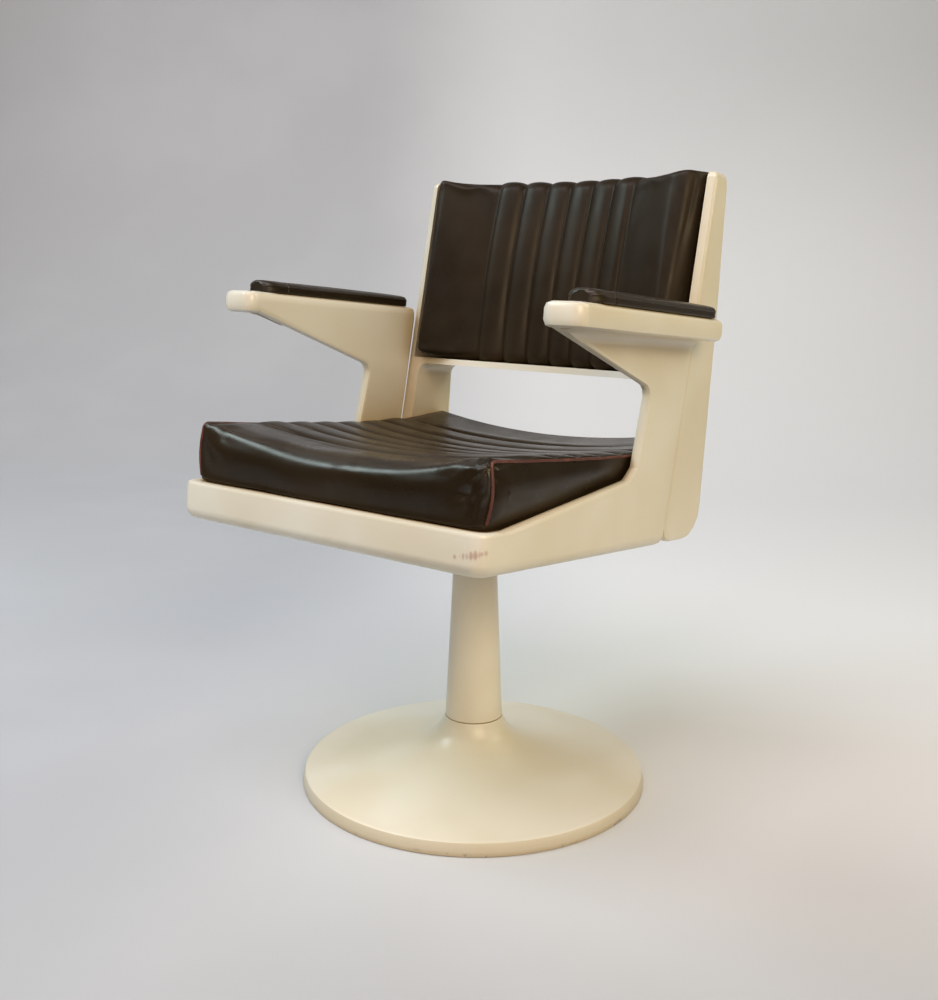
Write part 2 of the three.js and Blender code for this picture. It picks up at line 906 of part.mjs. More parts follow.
const frameBoltHoles = () => frameBoltPlaces.map((place) => {
  const hole = circle(place, frameBoltHeight, boltRadius + seatedGap);
  const end = frameHalfWidth - legThickness + frameBoltBite + seatedGap;
  return extruded(hole, 'x', tailHalfWidth - shellWall - overrun, end);
});

const armScrewX = panelInner + armWidth - armScrewInset;

const armScrewSeat = armBottom + armScrewSink;

// Each screw has a hole right through the armrest and a wider one from below that hides its head
function armScrewHoles() {
  return armScrewPlaces.flatMap((place) => {
    const hole = circle(armScrewX, place, armScrewRadius + seatedGap);
    const recess = circle(armScrewX, place, armScrewHeadRadius + seatedGap);
    return [
      extruded(hole, 'z', armBottom - overrun, armTop + overrun),
      extruded(recess, 'z', armBottom - overrun, armScrewSeat),
    ];
  });
}

function seatShell() {
  const side = joined([sidePanel(), armSlab(), filletUnderArm()]);
  const body = joined([trayBody(), ...shellRibs(), side, mirrored(side)]);
  const sideHoles = [...frameBoltHoles(), ...armScrewHoles()];
  const floorHoles = boltHoles.map((hole) => extruded(hole, 'z', -overrun, shellFloor + overrun));
  return cut(body, [...floorHoles, ...sideHoles, ...sideHoles.map(mirrored)]);
}

function seatBoard() {
  const outline = trayLoop(shellWall + seatBoardEase);
  return extruded(outline, 'z', ribTop + seatedGap, seatBoardTop);
}

// Back frame

const frontLine = (height) => lerp(frameFrontFoot, frameFrontTop, height / frameTop);
const rearLine = (height) => lerp(frameRear, frameRearTop, smooth(height, frameRearBend, frameTop));

function frameOutline() {
  return roundedLoop([
    [frontLine(frameBottom), frameBottom, frameToeRound],
    [frameRear, frameBottom, frameHeelRound],
    [frameRear, frameRearBend, 0],
    [frameRearTop, frameTop, frameCrownRound],
    [frameFrontTop, frameTop, frameBrowRound],
  ]);
}

// The rear wall: flat at the crossbar and bulging to the rear towards the top
function rearFace(x, height) {
  const rise = (height - barTop) / (frameTop - barTop);
  const across = 1 - (x / (frameHalfWidth - cheekThickness)) ** 2;
  return rearLine(height) - rearWallInset + rearBulge * rise * across;
}

const wallFace = (x, height) => rearFace(x, height) - rearWall;

const panelSteps = 16;
const heightSteps = 5;

// A panel between two faces that are functions of x and height
function curvedPanel(halfWidth, low, high, frontFace, rearwardFace) {
  const heights = evenly(low, high, heightSteps);
  const rings = evenly(-halfWidth, halfWidth, panelSteps).map((x) => {
    const front = heights.map((height) => [x, frontFace(x, height), height]);
    const back = heights.map((height) => [x, rearwardFace(x, height), height]);
    return [...front, ...back.reverse()];
  });
  return lofted(rings, [1, 2]);
}

function backFrame() {
  const inside = frameHalfWidth - cheekThickness;
  const legInside = frameHalfWidth - legThickness;
  const ahead = frameFrontFoot - overrun;
  const behind = frameRear + rearBulge + overrun;
  const block = extruded(frameOutline(), 'x', -frameHalfWidth, frameHalfWidth, frameEdge);
  const wallTop = frameTop - rearWallDrop;
  const wall = curvedPanel(
    inside + overrun / 2,
    barTop - overrun,
    wallTop,
    (x, height) => wallFace(x, height) - rearWall / 2,
    rearFace,
  );
  const pocket = curvedPanel(inside, barTop, frameTop + overrun, () => ahead, wallFace);
  const arch = roundedLoop([
    [-legInside, frameBottom - overrun, 0],
    [legInside, frameBottom - overrun, 0],
    [legInside, barUnderside, openingCorner],
    [-legInside, barUnderside, openingCorner],
  ]);
  const opening = extruded(arch, 'y', ahead, behind);
  const holes = frameBoltHoles();
  return cut(joined([block, wall]), [pocket, opening, ...holes, ...holes.map(mirrored)]);
}

function backBoard() {
  const halfWidth = frameHalfWidth - cheekThickness - backBoardEase;
  const high = frameTop - rearWallDrop - backBoardEase;
  const behind = (x, height) => wallFace(x, height) - curvedGap;
  const ahead = (x, height) => behind(x, height) - backBoardThickness;
  return curvedPanel(halfWidth, barTop + seatedGap, high, ahead, behind);
}

function frameBolts() {
  const start = tailHalfWidth - shellWall - seatedGap;
  const length = shellWall + frameBoltBite + 2 * seatedGap;
  const meshes = [];
  [1, -1].forEach((sign) => {
    frameBoltPlaces.forEach((place) => {
      const body = bolt(boltRadius, length, boltHeadRadius, boltHeadHeight);
      const mesh = piece(`frame_bolt_${meshes.length + 1}`, body, 'steel');
      mesh.position.set(sign * start, place, frameBoltHeight);
      mesh.rotation.y = sign * Math.PI / 2;
      meshes.push(mesh);
    });
  });
  return meshes;
}

// Seat cushion

// Height of the side edges of the seat cushion along its length
function cushionEdge(y) {
  const ahead = (cushionLowPlace - y) / (cushionLowPlace - cushionFront);
  const behind = (y - cushionLowPlace) / (cushionRear - cushionLowPlace);
  const rise = y < cushionLowPlace ? cushionEdgeHeight - cushionEdgeLow : cushionEdgeRear - cushionEdgeLow;
  return cushionEdgeLow + rise * Math.max(ahead, behind) ** 2;
}

const cushionReach = (y) => lerp(cushionHalfWidth, cushionTailHalfWidth, smooth(y, waistStart, waistEnd));
const seatColumnShares = [-1, -0.97, -0.85, -0.6, -0.3, 0, 0.3, 0.6, 0.85, 0.97, 1];
const seatFrontShares = [0, 0.15, 0.45, 0.8];
const seatRearShares = [0, 0.2, 0.55, 0.85, 1];
const bellyShare = 0.4;

function seatCushion() {
  const start = cushionFront + cushionCornerRoll;
  const end = cushionRear - cushionCornerRoll;
  const places = [
    ...spread(start, seatSeamFirst, seatFrontShares),
    ...ribPlaces(seatSeamFirst, seatSeamPitch, seatRibs),
    ...spread(seatSeamLast, end, seatRearShares),
  ];
  const columns = seatColumnShares.length - 1;
  const rows = places.length - 1;
  const rollAt = (column, row) => {
    const middle = 1 - seatColumnShares[column] ** 4;
    if (row === 0) {
      return lerp(cushionCornerRoll, cushionFrontRoll, middle);
    }
    return row === rows ? lerp(cushionCornerRoll, cushionRearRoll, middle) : cushionSideRoll;
  };
  const facePoint = (column, row) => {
    const share = seatColumnShares[column];
    const [across, along] = outwardAt(column, row, columns, rows);
    const roll = rollAt(column, row);
    const reach = cushionReach(places[row]) - (across ? cushionSideRoll : 0);
    const pulledIn = along * (roll - cushionCornerRoll);
    const lift = crown(
      places[row],
      start,
      seatSeamFirst,
      seatSeamPitch,
      seatRibs,
      end,
      seatRibCrown,
      seatPanelCrown,
    );
    const height = cushionEdge(places[row]) - cushionDish * (1 - share ** 2) + lift * (1 - share ** 6);
    return [share * reach, places[row] - pulledIn, height];
  };
  // A quarter round from the top face, a belly, and a lower edge that is drawn in
  const wall = (outShare, downShare) => (column, row) => {
    const [across, along] = outwardAt(column, row, columns, rows);
    const roll = rollAt(column, row);
    const [x, y, z] = facePoint(column, row);
    return [x + across * cushionSideRoll * outShare, y + along * roll * outShare, z - roll * downShare];
  };
  const side = (height, out) => (column, row) => {
    const [across, along] = outwardAt(column, row, columns, rows);
    const [x, y] = wall(1, 1)(column, row);
    return [x + across * out, y + along * out, height];
  };
  const belly = lerp(cushionBottom, cushionEdgeLow, bellyShare);
  const walls = [wall(Math.SQRT1_2, 1 - Math.SQRT1_2), wall(1, 1), side(belly, cushionBulge)];
  walls.push(side(cushionBottom, -cushionDrawIn));
  const body = padSkin(columns, rows, facePoint, walls);
  return cut(body, [1, -1].map((sign) => piping(sign, pipingRadius + seatedGap)));
}

// The piping climbs the front corner of the cushion and runs back along its side edge. Its climb is
// given as shares of the way back and of the way up
const pipingClimbShares = [[0, 0], [0.4, 0.6], [0.75, 1]];
const pipingRunShares = [0.25, 0.5, 0.75, 1];

function piping(sign, radius) {
  const x = sign * (cushionHalfWidth - pipingRadius / 2);
  const low = cushionFront + pipingRadius + pipingSetBack;
  const high = cushionFront + cushionCornerRoll + pipingSetBack;
  const along = (y) => new THREE.Vector3(x, y, cushionEdge(y) - pipingRadius / 2);
  const shoulder = cushionEdge(high) - pipingLean;
  const points = [
    ...pipingClimbShares.map(
      ([back, up]) => new THREE.Vector3(x, lerp(low, high, back), lerp(pipingFoot, shoulder, up)),
    ),
    along(high + pipingLean),
    ...spread(high, waistStart, pipingRunShares).map(along),
  ];
  const shape = new THREE.Shape(circle(0, 0, radius, pipingSides));
  const extrudePath = new THREE.CatmullRomCurve3(points);
  return closed(new THREE.ExtrudeGeometry(shape, { extrudePath, steps: pipingSteps, bevelEnabled: false }));
}

// Back cushion

const backFace = (x, height) => frontLine(height) - backProud + backSagitta * (1 - (x / backHalfWidth) ** 2);
const backSideShares = [0, 0.25, 0.55, 0.85];
const backOtherSideShares = [0, 0.15, 0.45, 0.75, 1];

function backCushion() {
  const low = barTop + seatedGap + backRoll;
  const high = backTop - backRoll;
  const outer = backHalfWidth - backRoll / 2;
  const seamLast = -backSeamFirst;
  const places = [
    ...spread(-outer, backSeamFirst, backSideShares),
    ...ribPlaces(backSeamFirst, backSeamPitch, backRibs),
    ...spread(seamLast, outer, backOtherSideShares),
  ];
  const columns = places.length - 1;
  const heightAt = (row) => lerp(low, high, row / backRows);
  const facePoint = (column, row) => {
    const x = places[column];
    const corner = (x / outer) ** 8 * (row === backRows ? 1 : 0);
    const height = heightAt(row) + backPinch * corner;
    const middle = 1 - (2 * row / backRows - 1) ** 2;
    const belly = lerp(backBelly, backSideBelly, (x / outer) ** 2) * middle;
    const lift = crown(
      x,
      -outer,
      backSeamFirst,
      backSeamPitch,
      backRibs,
      outer,
      backRibCrown,
      backPanelCrown,
    );
    return [x, backFace(x, height) - lift - belly, height];
  };
  const wall = (out, back) => (column, row) => {
    const [across, along] = outwardAt(column, row, columns, backRows);
    const [x, y, z] = facePoint(column, row);
    return [x + across * out, y + back, z + along * out];
  };
  const shoulder = (column, row) => {
    const [across, along] = outwardAt(column, row, columns, backRows);
    const [x, y, z] = facePoint(column, row);
    const wide = across * (backRearHalfWidth - outer);
    return [x + wide, y + backShoulder, z + along * backRoll];
  };
  const rearPoint = (column, row) => {
    const x = places[column] * backRearHalfWidth / outer;
    const height = lerp(low - backRoll, high + backRoll, row / backRows);
    return [x, wallFace(x, height) - 2 * curvedGap - backBoardThickness, height];
  };
  const round = backRoll * Math.SQRT1_2;
  const walls = [wall(round, backRoll - round), wall(backRoll, backRoll), shoulder, rearPoint];
  return padSkin(columns, backRows, facePoint, walls, rearPoint);
}

// Arm pads, for the side at +X

const padOuter = panelInner + armWidth - padInset;
const padInner = padOuter - padWidth;

function padOutline(inset) {
  const front = padFrontCorner - inset;
  const rear = padRearCorner - inset;
  return roundedLoop([
    [padInner + inset, padFront + inset, front],
    [padOuter - inset, padFront + inset, front],
    [padOuter - inset, padRear - inset, rear],
    [padInner + inset, padRear - inset, rear],
  ]);
}

// Half the pad's width at a place along it: square sides with rounded ends
function padReach(y) {
  const ahead = Math.max(0, padFront + padFrontCorner - y);
  const behind = Math.max(0, y - padRear + padRearCorner);
  const frontLoss = padFrontCorner - Math.sqrt(Math.max(0, padFrontCorner ** 2 - ahead ** 2));
  const rearLoss = padRearCorner - Math.sqrt(Math.max(0, padRearCorner ** 2 - behind ** 2));
  return padWidth / 2 - frontLoss - rearLoss;
}

function armPad() {
  const centre = (padInner + padOuter) / 2;
  const seam = padFront + padSeamPlace;
  const start = padFront + padRoll;
  const end = padRear - padRoll;
  const places = [...evenly(start, seam, padCapRows).slice(0, -1), ...evenly(seam, end, padRows)];
  const rows = places.length - 1;
  const bottom = armTop + seatedGap;
  const facePoint = (column, row) => {
    const share = 2 * column / padColumns - 1;
    const [across] = outwardAt(column, row, padColumns, rows);
    const reach = padReach(places[row]) - padRoll;
    const groove = places[row] === seam ? padSeamDepth : 0;
    const height = bottom + padHeight - padCrown * share ** 2 - groove;
    return [centre + (across || share) * reach, places[row], height];
  };
  const wall = (out, drop) => (column, row) => {
    const [across, along] = outwardAt(column, row, padColumns, rows);
    const [x, y, z] = facePoint(column, row);
    const notch = places[row] === seam ? padSeamDepth : 0;
    return [x + across * (out - notch), y + along * out, z - drop];
  };
  const foot = (column, row) => {
    const [x, y] = wall(padRoll, padRoll)(column, row);
    return [x, y, bottom];
  };
  const round = padRoll * Math.SQRT1_2;
  const walls = [wall(round, padRoll - round), wall(padRoll, padRoll), foot];
  const body = padSkin(padColumns, rows, facePoint, walls);
  const boardTop = bottom + padBoardThickness + seatedGap;
  const room = extruded(padOutline(padBoardInset - seatedGap), 'z', armTop - overrun, boardTop);
  return cut(body, [room, padClip(seatedGap)]);
}

function padBoard() {
  const bottom = armTop + seatedGap;
  const holes = armScrewPlaces.map((place) => circle(armScrewX, place, armScrewRadius + seatedGap));
  const outline = padOutline(padBoardInset);
  return extruded(outline, 'z', bottom, bottom + padBoardThickness, 0, holes);
}

function padClip(room) {
  const centre = (padInner + padOuter) / 2;
  const half = clipWidth / 2 + room;
  const rear = padFront + padBoardInset - seatedGap + room / 2;
  const front = padFront + padBoardInset - clipLength - room;
  const low = armTop + seatedGap;
  const outline = roundedLoop(rectangle(centre - half, centre + half, front, rear));
  return extruded(outline, 'z', low - room, low + clipGauge + room);
}

function armScrew() {
  const head = circle(0, 0, armScrewHeadRadius);
  const body = extruded(head, 'z', -armScrewHeadHeight, 0);
  const shank = circle(0, 0, armScrewRadius);
  const length = armThickness - armScrewSink + 2 * seatedGap + armScrewReach;
  return joined([body, extruded(shank, 'z', -armScrewHeadHeight / 2, length)]);
}

function armPieces(sign, label, firstScrew) {
  const placed = (geometry) => (sign > 0 ? geometry : mirrored(geometry));
  const screws = armScrewPlaces.map((place, index) => {
    const mesh = piece(`arm_screw_${firstScrew + index}`, armScrew(), 'steel');
    mesh.position.set(sign * armScrewX, place, armScrewSeat - seatedGap);
    return mesh;
  });
  return [
    piece(`${label}_arm_pad`, placed(armPad()), 'leatherette'),
    piece(`${label}_pad_board`, placed(padBoard()), 'plywood'),
    piece(`${label}_pad_clip`, placed(padClip(0)), 'steel'),
    ...screws,
  ];
}

// Assembly. Left and right are the sitter's: the left arm is at +X

function standingGroup() {
  return new THREE.Group().add(
    piece('floor_disc', floorDisc(), 'fibreboard'),
    piece('foot', foot(), 'cream'),
    piece('ballast_ring', ballastRing(), 'iron'),
    piece('stem', stem(), 'cream'),
    piece('post', post(), 'steel'),
    piece('post_washer', postWasher(), 'steel'),
    piece('post_nut', postNut(), 'steel'),
    piece('upper_bush', upperBush(), 'nylon'),
    piece('lower_bush', lowerBush(), 'nylon'),
  );
}

function uprightTurningGroup() {
  return new THREE.Group().add(
    piece('spindle', spindle(), 'steel'),
    piece('spindle_clip', spindleClip(), 'steel'),
    piece('thrust_washer', thrustWasher(), 'nylon'),
    piece('seat_bracket', seatBracket(), 'steel'),
  );
}

function tiltedGroup() {
  const group = new THREE.Group().add(
    ...bracketBolts(),
    ...bracketNuts(),
    piece('seat_shell', seatShell(), 'cream'),
    piece('seat_board', seatBoard(), 'plywood'),
    piece('seat_cushion', seatCushion(), 'leatherette'),
    piece('left_piping', piping(1, pipingRadius), 'piping'),
    piece('right_piping', piping(-1, pipingRadius), 'piping'),
    piece('back_frame', backFrame(), 'cream'),
    piece('back_board', backBoard(), 'plywood'),
    piece('back_cushion', backCushion(), 'leatherette'),
    ...frameBolts(),
    ...armPieces(1, 'left', 1),
    ...armPieces(-1, 'right', 1 + armScrewPlaces.length),
  );
  group.position.z = shellHeight;
  group.rotation.x = -seatTilt;
  return group;
}

const armchair = new THREE.Group();
armchair.add(standingGroup(), uprightTurningGroup(), tiltedGroup());

export default armchair;
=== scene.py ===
import json
from math import atan2, cos, exp, pi, radians, sin, sqrt

import bmesh
import bpy
import numpy as np
from mathutils import Matrix, Vector, noise


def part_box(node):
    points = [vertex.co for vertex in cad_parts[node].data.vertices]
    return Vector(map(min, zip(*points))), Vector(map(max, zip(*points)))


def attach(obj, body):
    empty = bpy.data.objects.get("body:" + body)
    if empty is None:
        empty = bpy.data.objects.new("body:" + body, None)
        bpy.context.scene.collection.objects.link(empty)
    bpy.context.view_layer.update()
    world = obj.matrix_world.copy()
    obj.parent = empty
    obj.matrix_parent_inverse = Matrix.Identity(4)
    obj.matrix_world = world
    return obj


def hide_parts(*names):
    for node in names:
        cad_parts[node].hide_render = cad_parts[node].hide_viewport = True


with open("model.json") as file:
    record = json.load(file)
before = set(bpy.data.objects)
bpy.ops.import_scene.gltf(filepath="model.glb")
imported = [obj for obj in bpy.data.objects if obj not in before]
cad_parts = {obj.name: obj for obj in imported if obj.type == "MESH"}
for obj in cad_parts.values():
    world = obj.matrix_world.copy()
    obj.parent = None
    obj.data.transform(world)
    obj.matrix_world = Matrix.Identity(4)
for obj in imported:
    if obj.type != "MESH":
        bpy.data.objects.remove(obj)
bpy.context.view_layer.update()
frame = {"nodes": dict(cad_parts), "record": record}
nodes = frame["nodes"]

MM = 0.001

# Placing of the tilted parts
SEAT_TILT = radians(5.2)
SHELL_HEIGHT = 370.5 * MM
TILTED = Matrix.Translation((0, 0, SHELL_HEIGHT)) @ Matrix.Rotation(-SEAT_TILT, 4, "X")

# Camera: its place round the swivel axis, its aim and its lens
CAMERA_DISTANCE = 1558 * MM
CAMERA_AZIMUTH = radians(37.5)
CAMERA_HEIGHT = 726.8 * MM
CAMERA_YAW = radians(0.35)
CAMERA_PITCH = radians(11.66)
CAMERA_ROLL = radians(0.52)
CAMERA_LENS = 41.386
CAMERA_SENSOR = 36
CAMERA_REACH = 60

# Lamps: name, azimuth, elevation, distance, size, power, colour and aim, in degrees, metres and watts.
# Azimuth 0 is in front of the chair, and 90 on its +X side.
LAMPS = [
    ("window", -56, 43, 3.4, (1.8, 1.0), 63, (0.73, 0.92, 1.0), (0, 0, 0.5)),
    ("front_high", 10, 63, 3.4, (2.4, 1.6), 64, (0.96, 0.88, 1.0), (0, 0, 0.5)),
    ("front_low", 22, 3, 3.0, (2.2, 0.8), 8, (0.74, 0.82, 1.0), (0, 0, 0.5)),
    ("warm_side", 57, 20, 3.0, (1.6, 1.1), 46, (1.0, 0.82, 0.57), (0, 0, 0.7)),
    ("right_rear", 118, 32, 2.4, (1.0, 1.0), 11, (0.95, 1.0, 0.75), (0, 0, 0.5)),
    ("wall_left", 37.5, 50, 2.8, (2.0, 1.2), 24, (1.0, 0.95, 0.965), (-3.6, 2.0, 0.8)),
    ("wall_right", 37.5, 50, 2.8, (2.0, 1.2), 21, (0.99, 1.0, 0.985), (-1.2, 4.0, 0.8)),
]
WORLD_LOW_COLOUR = (0.10, 0.085, 0.06)
WORLD_HIGH_COLOUR = (0.22, 0.21, 0.20)
WORLD_LOW = radians(12)
WORLD_HIGH = radians(60)

# Paper sweep, in metres, seen along the camera's view
SWEEP_FRONT = -0.85
SWEEP_BACK = 4.2
SWEEP_RADIUS = 2.2
SWEEP_SIDE = 7.0
SWEEP_TOP = 5.0
SWEEP_STEPS = 24
# Tones of one paper with painted light and shade: shaded on the left, lit on the right, and a painted
# shade
PAPER_SHADED_LEFT = (0.485, 0.485, 0.493)
PAPER_LIT_RIGHT = (0.790, 0.787, 0.782)
PAPER_PAINTED_SHADE = (0.36, 0.36, 0.365)
PAPER_BRIGHT = (0.80, 0.80, 0.80)
PAPER_WAVE = 4 * MM

# Foot and stem
FOOT_RADIUS = 245 * MM
FOOT_RIM_HEIGHT = 19 * MM
FOOT_RIM_FOOT = 4 * MM
FOOT_RIM_LIFT = 0.8 * MM
FOOT_RIM_SLOPE = 5 * MM
FOOT_RIM_EDGE = 1.2 * MM
NECK_RADIUS = 41 * MM
NECK_HEIGHT = 92 * MM
NECK_WALL = 9 * MM
FOOT_WALL = 6 * MM
FOOT_SHARES = [(0, 1), (0.025, 0.844), (0.075, 0.662), (0.17, 0.494),
               (0.345, 0.351), (0.595, 0.208), (0.87, 0.065), (1, 0)]
STEM_BOTTOM_RADIUS = 40.5 * MM
STEM_TOP_RADIUS = 29.2 * MM
STEM_WALL = 4 * MM
STEM_EDGE = 1.2 * MM
FOOT_CURVE_STEPS = 8
FOOT_RIM_STEPS = 5
FOOT_CREASE_SHARE = 0.2
STEM_SHARES = (0.02, 0.99)
STEM_STEPS = 24
TURNED_STEPS = 160
TURNED_SHARP = radians(40)

# Seat cushion
SEAT_FRONT = -295.8 * MM
SEAT_REAR = 178 * MM
SEAT_BOTTOM = 48.9 * MM
SEAT_HALF = 228.5 * MM
SEAT_TAIL_HALF = 214.8 * MM
SEAT_WAIST = (66 * MM, 84 * MM)
SEAT_EDGE_FRONT = 127 * MM
SEAT_EDGE_LOW = 122.5 * MM
SEAT_EDGE_REAR = 142 * MM
SEAT_LOW_PLACE = -25 * MM
SEAT_DISH = 20 * MM
SEAT_FRONT_ROLL = 34 * MM
SEAT_CORNER_ROLL = 6 * MM
SEAT_REAR_ROLL = 18 * MM
SEAT_SIDE_ROLL = 3 * MM
SEAT_CORNER_BACK = (7 * MM, 10 * MM)
SEAT_FAR_CORNER_BACK = (2.5 * MM, 4 * MM)
SEAT_CORNER_REACH = 26 * MM
SEAT_RIB_CROWN = 7 * MM
SEAT_PANEL_CROWN = 5 * MM
SEAT_SEAM_FIRST = -204 * MM
SEAT_SEAM_PITCH = 48.5 * MM
SEAT_RIBS = 6
SEAT_PANEL_REACH = 90 * MM
SEAT_TAIL_REACH = 50 * MM
SEAT_FIRST_ROW = SEAT_FRONT + 60 * MM
SEAT_LAST_ROW = SEAT_REAR - 22 * MM
SEAT_PUFF = 2.5 * MM
SEAT_LIMIT = 231.3 * MM
SEAT_BELLY = 4 * MM
SEAT_SIDE_BELLY = 6.5 * MM
SEAT_SIDE_BELLY_FADE = (20 * MM, 70 * MM)
RAIL_FOOT = (-275 * MM, 50 * MM)
RAIL_END = (-14 * MM, 93 * MM)
SEAT_BULGE = 2.2 * MM
SEAT_FACE_ROWS = 11
SEAT_LEAD_ROWS = 4
SEAT_TAIL_ROWS = 3
SEAT_REAR_ROLL_ROWS = 7
SEAT_REAR_ROWS = 10
SEAT_BOTTOM_ROWS = 24
SEAT_SPINE_INSET = 40 * MM
SEAT_SPINE_SHARE = 0.97

# Welts of the seat cushion
PIPING_RADIUS = 1.8 * MM
PIPING_INSET = 2.4 * MM
PIPING_PROUD = 0.4 * MM
PIPING_FOOT = 54 * MM
PIPING_TAIL = SEAT_REAR - 30 * MM
PIPING_SIDES = 10
PIPING_WAVES = ((40 * MM, 30 * MM, 1), 0.5 * MM)

# Back cushion
BACK_HALF = 204 * MM
BACK_REAR_HALF = 228.5 * MM
BACK_BOTTOM = 223.8 * MM
BACK_TOP = 491 * MM
BACK_PROUD = 26 * MM
BACK_SAGITTA = 56 * MM
BACK_SEAM_PITCH = 38.4 * MM
BACK_RIBS = 6
BACK_ROLL = 15 * MM
BACK_CORNER_ROLLS = (8 * MM, 20 * MM)
BACK_FAR_CORNER_ROLLS = (4 * MM, 8 * MM)
BACK_END_ROLL = 5 * MM
BACK_PUFF = 2.5 * MM
BACK_PINCH = 4 * MM
BACK_FOOT_PINCH = 9 * MM
BACK_SCALLOP_SHARES = (0.35, 0.45)
BACK_RIB_CROWN = 8 * MM
BACK_PANEL_CROWN = 4 * MM
BACK_BELLY = 9 * MM
BACK_SIDE_BELLY = 4 * MM
BACK_PANEL_REACH = 60 * MM
FRAME_TOP = 494 * MM
FRAME_FRONT_FOOT = 90 * MM
FRAME_FRONT_TOP = 151.5 * MM
BACK_REAR_DEPTH = 172 * MM
BACK_BULGE = 27 * MM
BACK_LEVEL_SHARES = (0.1, 0.9)
BACK_REAR_SHARE = 0.95
BACK_FLARE_RATE = 1.3
BACK_FLARE_POWER = 0.8
BACK_ROLL_ROWS = 7
BACK_ROWS = 50
BACK_TOP_ROWS = 18
BACK_REAR_ROWS = 24
BACK_SPINE_INSET = 34 * MM
BACK_SPINE_FOOT = BACK_BOTTOM + 50 * MM
BACK_SPINE_HEAD = BACK_TOP - 40 * MM
BACK_END_BULGE = 5 * MM

# Arm pads
PAD_WIDTH = 48 * MM
PAD_CENTRE = 261 * MM
PAD_FRONT = -186 * MM
PAD_REAR = 106 * MM
PAD_BOTTOM = 299.4 * MM
PAD_HEIGHT = 14.5 * MM
PAD_ROLL = 6 * MM
PAD_PUFF = 1.5 * MM
PAD_CROWN = 1.6 * MM
PAD_NOSE = 0.5 * MM
PAD_WELT = 0.9 * MM
PAD_FRONT_CORNER = 20 * MM
PAD_REAR_CORNER = 9 * MM
PAD_SEAM = PAD_FRONT + 38 * MM
PAD_SEAM_HALF = 1.5 * MM
PAD_SEAM_DEPTH = 1.3 * MM
PAD_NOSE_FADE = (PAD_SEAM - 4 * MM, PAD_SEAM + 10 * MM)
PAD_EDGE = 1 * MM
PAD_WELT_TUCK = 0.3 * MM
PAD_GRID = 4 * MM
PAD_SPINE_HALF = 4 * MM
PAD_SIDE_SHARE = 0.6
PAD_ROLL_ANGLES = (0.6, pi / 2, 4)
PAD_FRONT_ANGLES = (0.35, pi / 2, 7)
PAD_REAR_ANGLES = (pi / 2, 0.45, 4)
PAD_BOTTOM_POINTS = 7
PAD_TOP_POINTS = 9
# Points of a pad's ring that lie on its welt, counted along the first side
PAD_WELT_POINTS = (9, 10, 11)

# Rear edge of the shell's side panels, beside the legs of the back frame
PANEL_INNER = 228 * MM
PANEL_FOOT = 16 * MM
PANEL_HEAD = 291 * MM
PANEL_REAR = (88 * MM, 119 * MM)
PANEL_EDGE = 9 * MM
ARM_UNDERSIDE = 272 * MM
LEG_GAP = 0.2 * MM
LEG_REACH = 8 * MM
LEG_GAP_START = (40 * MM, 90 * MM)
LEG_GAP_END = (ARM_UNDERSIDE - 8 * MM, ARM_UNDERSIDE)

# Meshes
GRID = 5 * MM
END_STEP = 3 * MM
CAP_SHARES = (0.10, 0.24, 0.40, 0.56, 0.72, 0.88)
CAP_BULGE_RATE = 1.6
SOFT_ANGLE = radians(32)
FLAT_WEIGHT = 90
MERGE_DISTANCE = 0.02 * MM
SEAM_CREASE = 0.85
PAD_SEAM_CREASE = 0.9

# Cloth that is blown up from inside
TINY = 1e-9
CLOTH_FRAMES = 20
CLOTH = {
    "vertex_group_mass": "held",
    "quality": 5,
    "mass": 0.3,
    "tension_stiffness": 12,
    "compression_stiffness": 12,
    "shear_stiffness": 6,
    "bending_stiffness": 8,
    "use_pressure": True,
    "uniform_pressure_force": 4.0,
}

# Powers that set how squarely a form ends: higher is squarer
RIB_POWERS = (2.1, 0.68)
SEAT_ROLL_POWER = 16
SEAT_CROWN_POWER = 20
SEAT_BELLY_POWER = 8
BACK_CORNER_POWER = 10
BACK_CROWN_POWER = 16


def rib(share):
    """Height of a sewn rib across its width, with 0 at both seams."""
    return (1 - abs(2 * share - 1) ** RIB_POWERS[0]) ** RIB_POWERS[1]


def smooth(value, low, high):
    """0 at low and 1 at high, with a soft start and end."""
    share = min(max((value - low) / (high - low), 0), 1)
    return share * share * (3 - 2 * share)


def lerp(a, b, share):
    return a + (b - a) * share


def evenly(start, end, spacing):
    """Places from start to end, both included, about one spacing apart."""
    return list(np.linspace(start, end, max(2, round(abs(end - start) / spacing) + 1)))


# Camera, lights and floor


def add_camera():
    data = bpy.data.cameras.new("camera")
    data.sensor_width = CAMERA_SENSOR
    data.lens = CAMERA_LENS
    data.clip_end = CAMERA_REACH
    camera = bpy.data.objects.new("camera", data)
    bpy.context.scene.collection.objects.link(camera)
    across, ahead = CAMERA_DISTANCE * sin(CAMERA_AZIMUTH), -CAMERA_DISTANCE * cos(CAMERA_AZIMUTH)
    turn = Matrix.Rotation(CAMERA_AZIMUTH + CAMERA_YAW, 4, "Z")
    turn @= Matrix.Rotation(pi / 2 - CAMERA_PITCH, 4, "X")
    turn @= Matrix.Rotation(CAMERA_ROLL, 4, "Z")
    camera.matrix_world = Matrix.Translation((across, ahead, CAMERA_HEIGHT)) @ turn
    bpy.context.scene.camera = camera


def add_lamp(name, azimuth, elevation, distance, size, power, colour, aim):
    """A soft lamp that looks at its aim."""
    data = bpy.data.lights.new(name, "AREA")
    data.shape = "RECTANGLE"
    data.size, data.size_y = size
    data.energy = power
    data.color = colour
    lamp = bpy.data.objects.new(name, data)
    bpy.context.scene.collection.objects.link(lamp)
    turn, rise = radians(azimuth), radians(elevation)
    away = Vector((sin(turn) * cos(rise), -cos(turn) * cos(rise), sin(rise)))
    lamp.location = Vector(aim) + away * distance
    lamp.rotation_euler = away.to_track_quat("Z", "Y").to_euler()


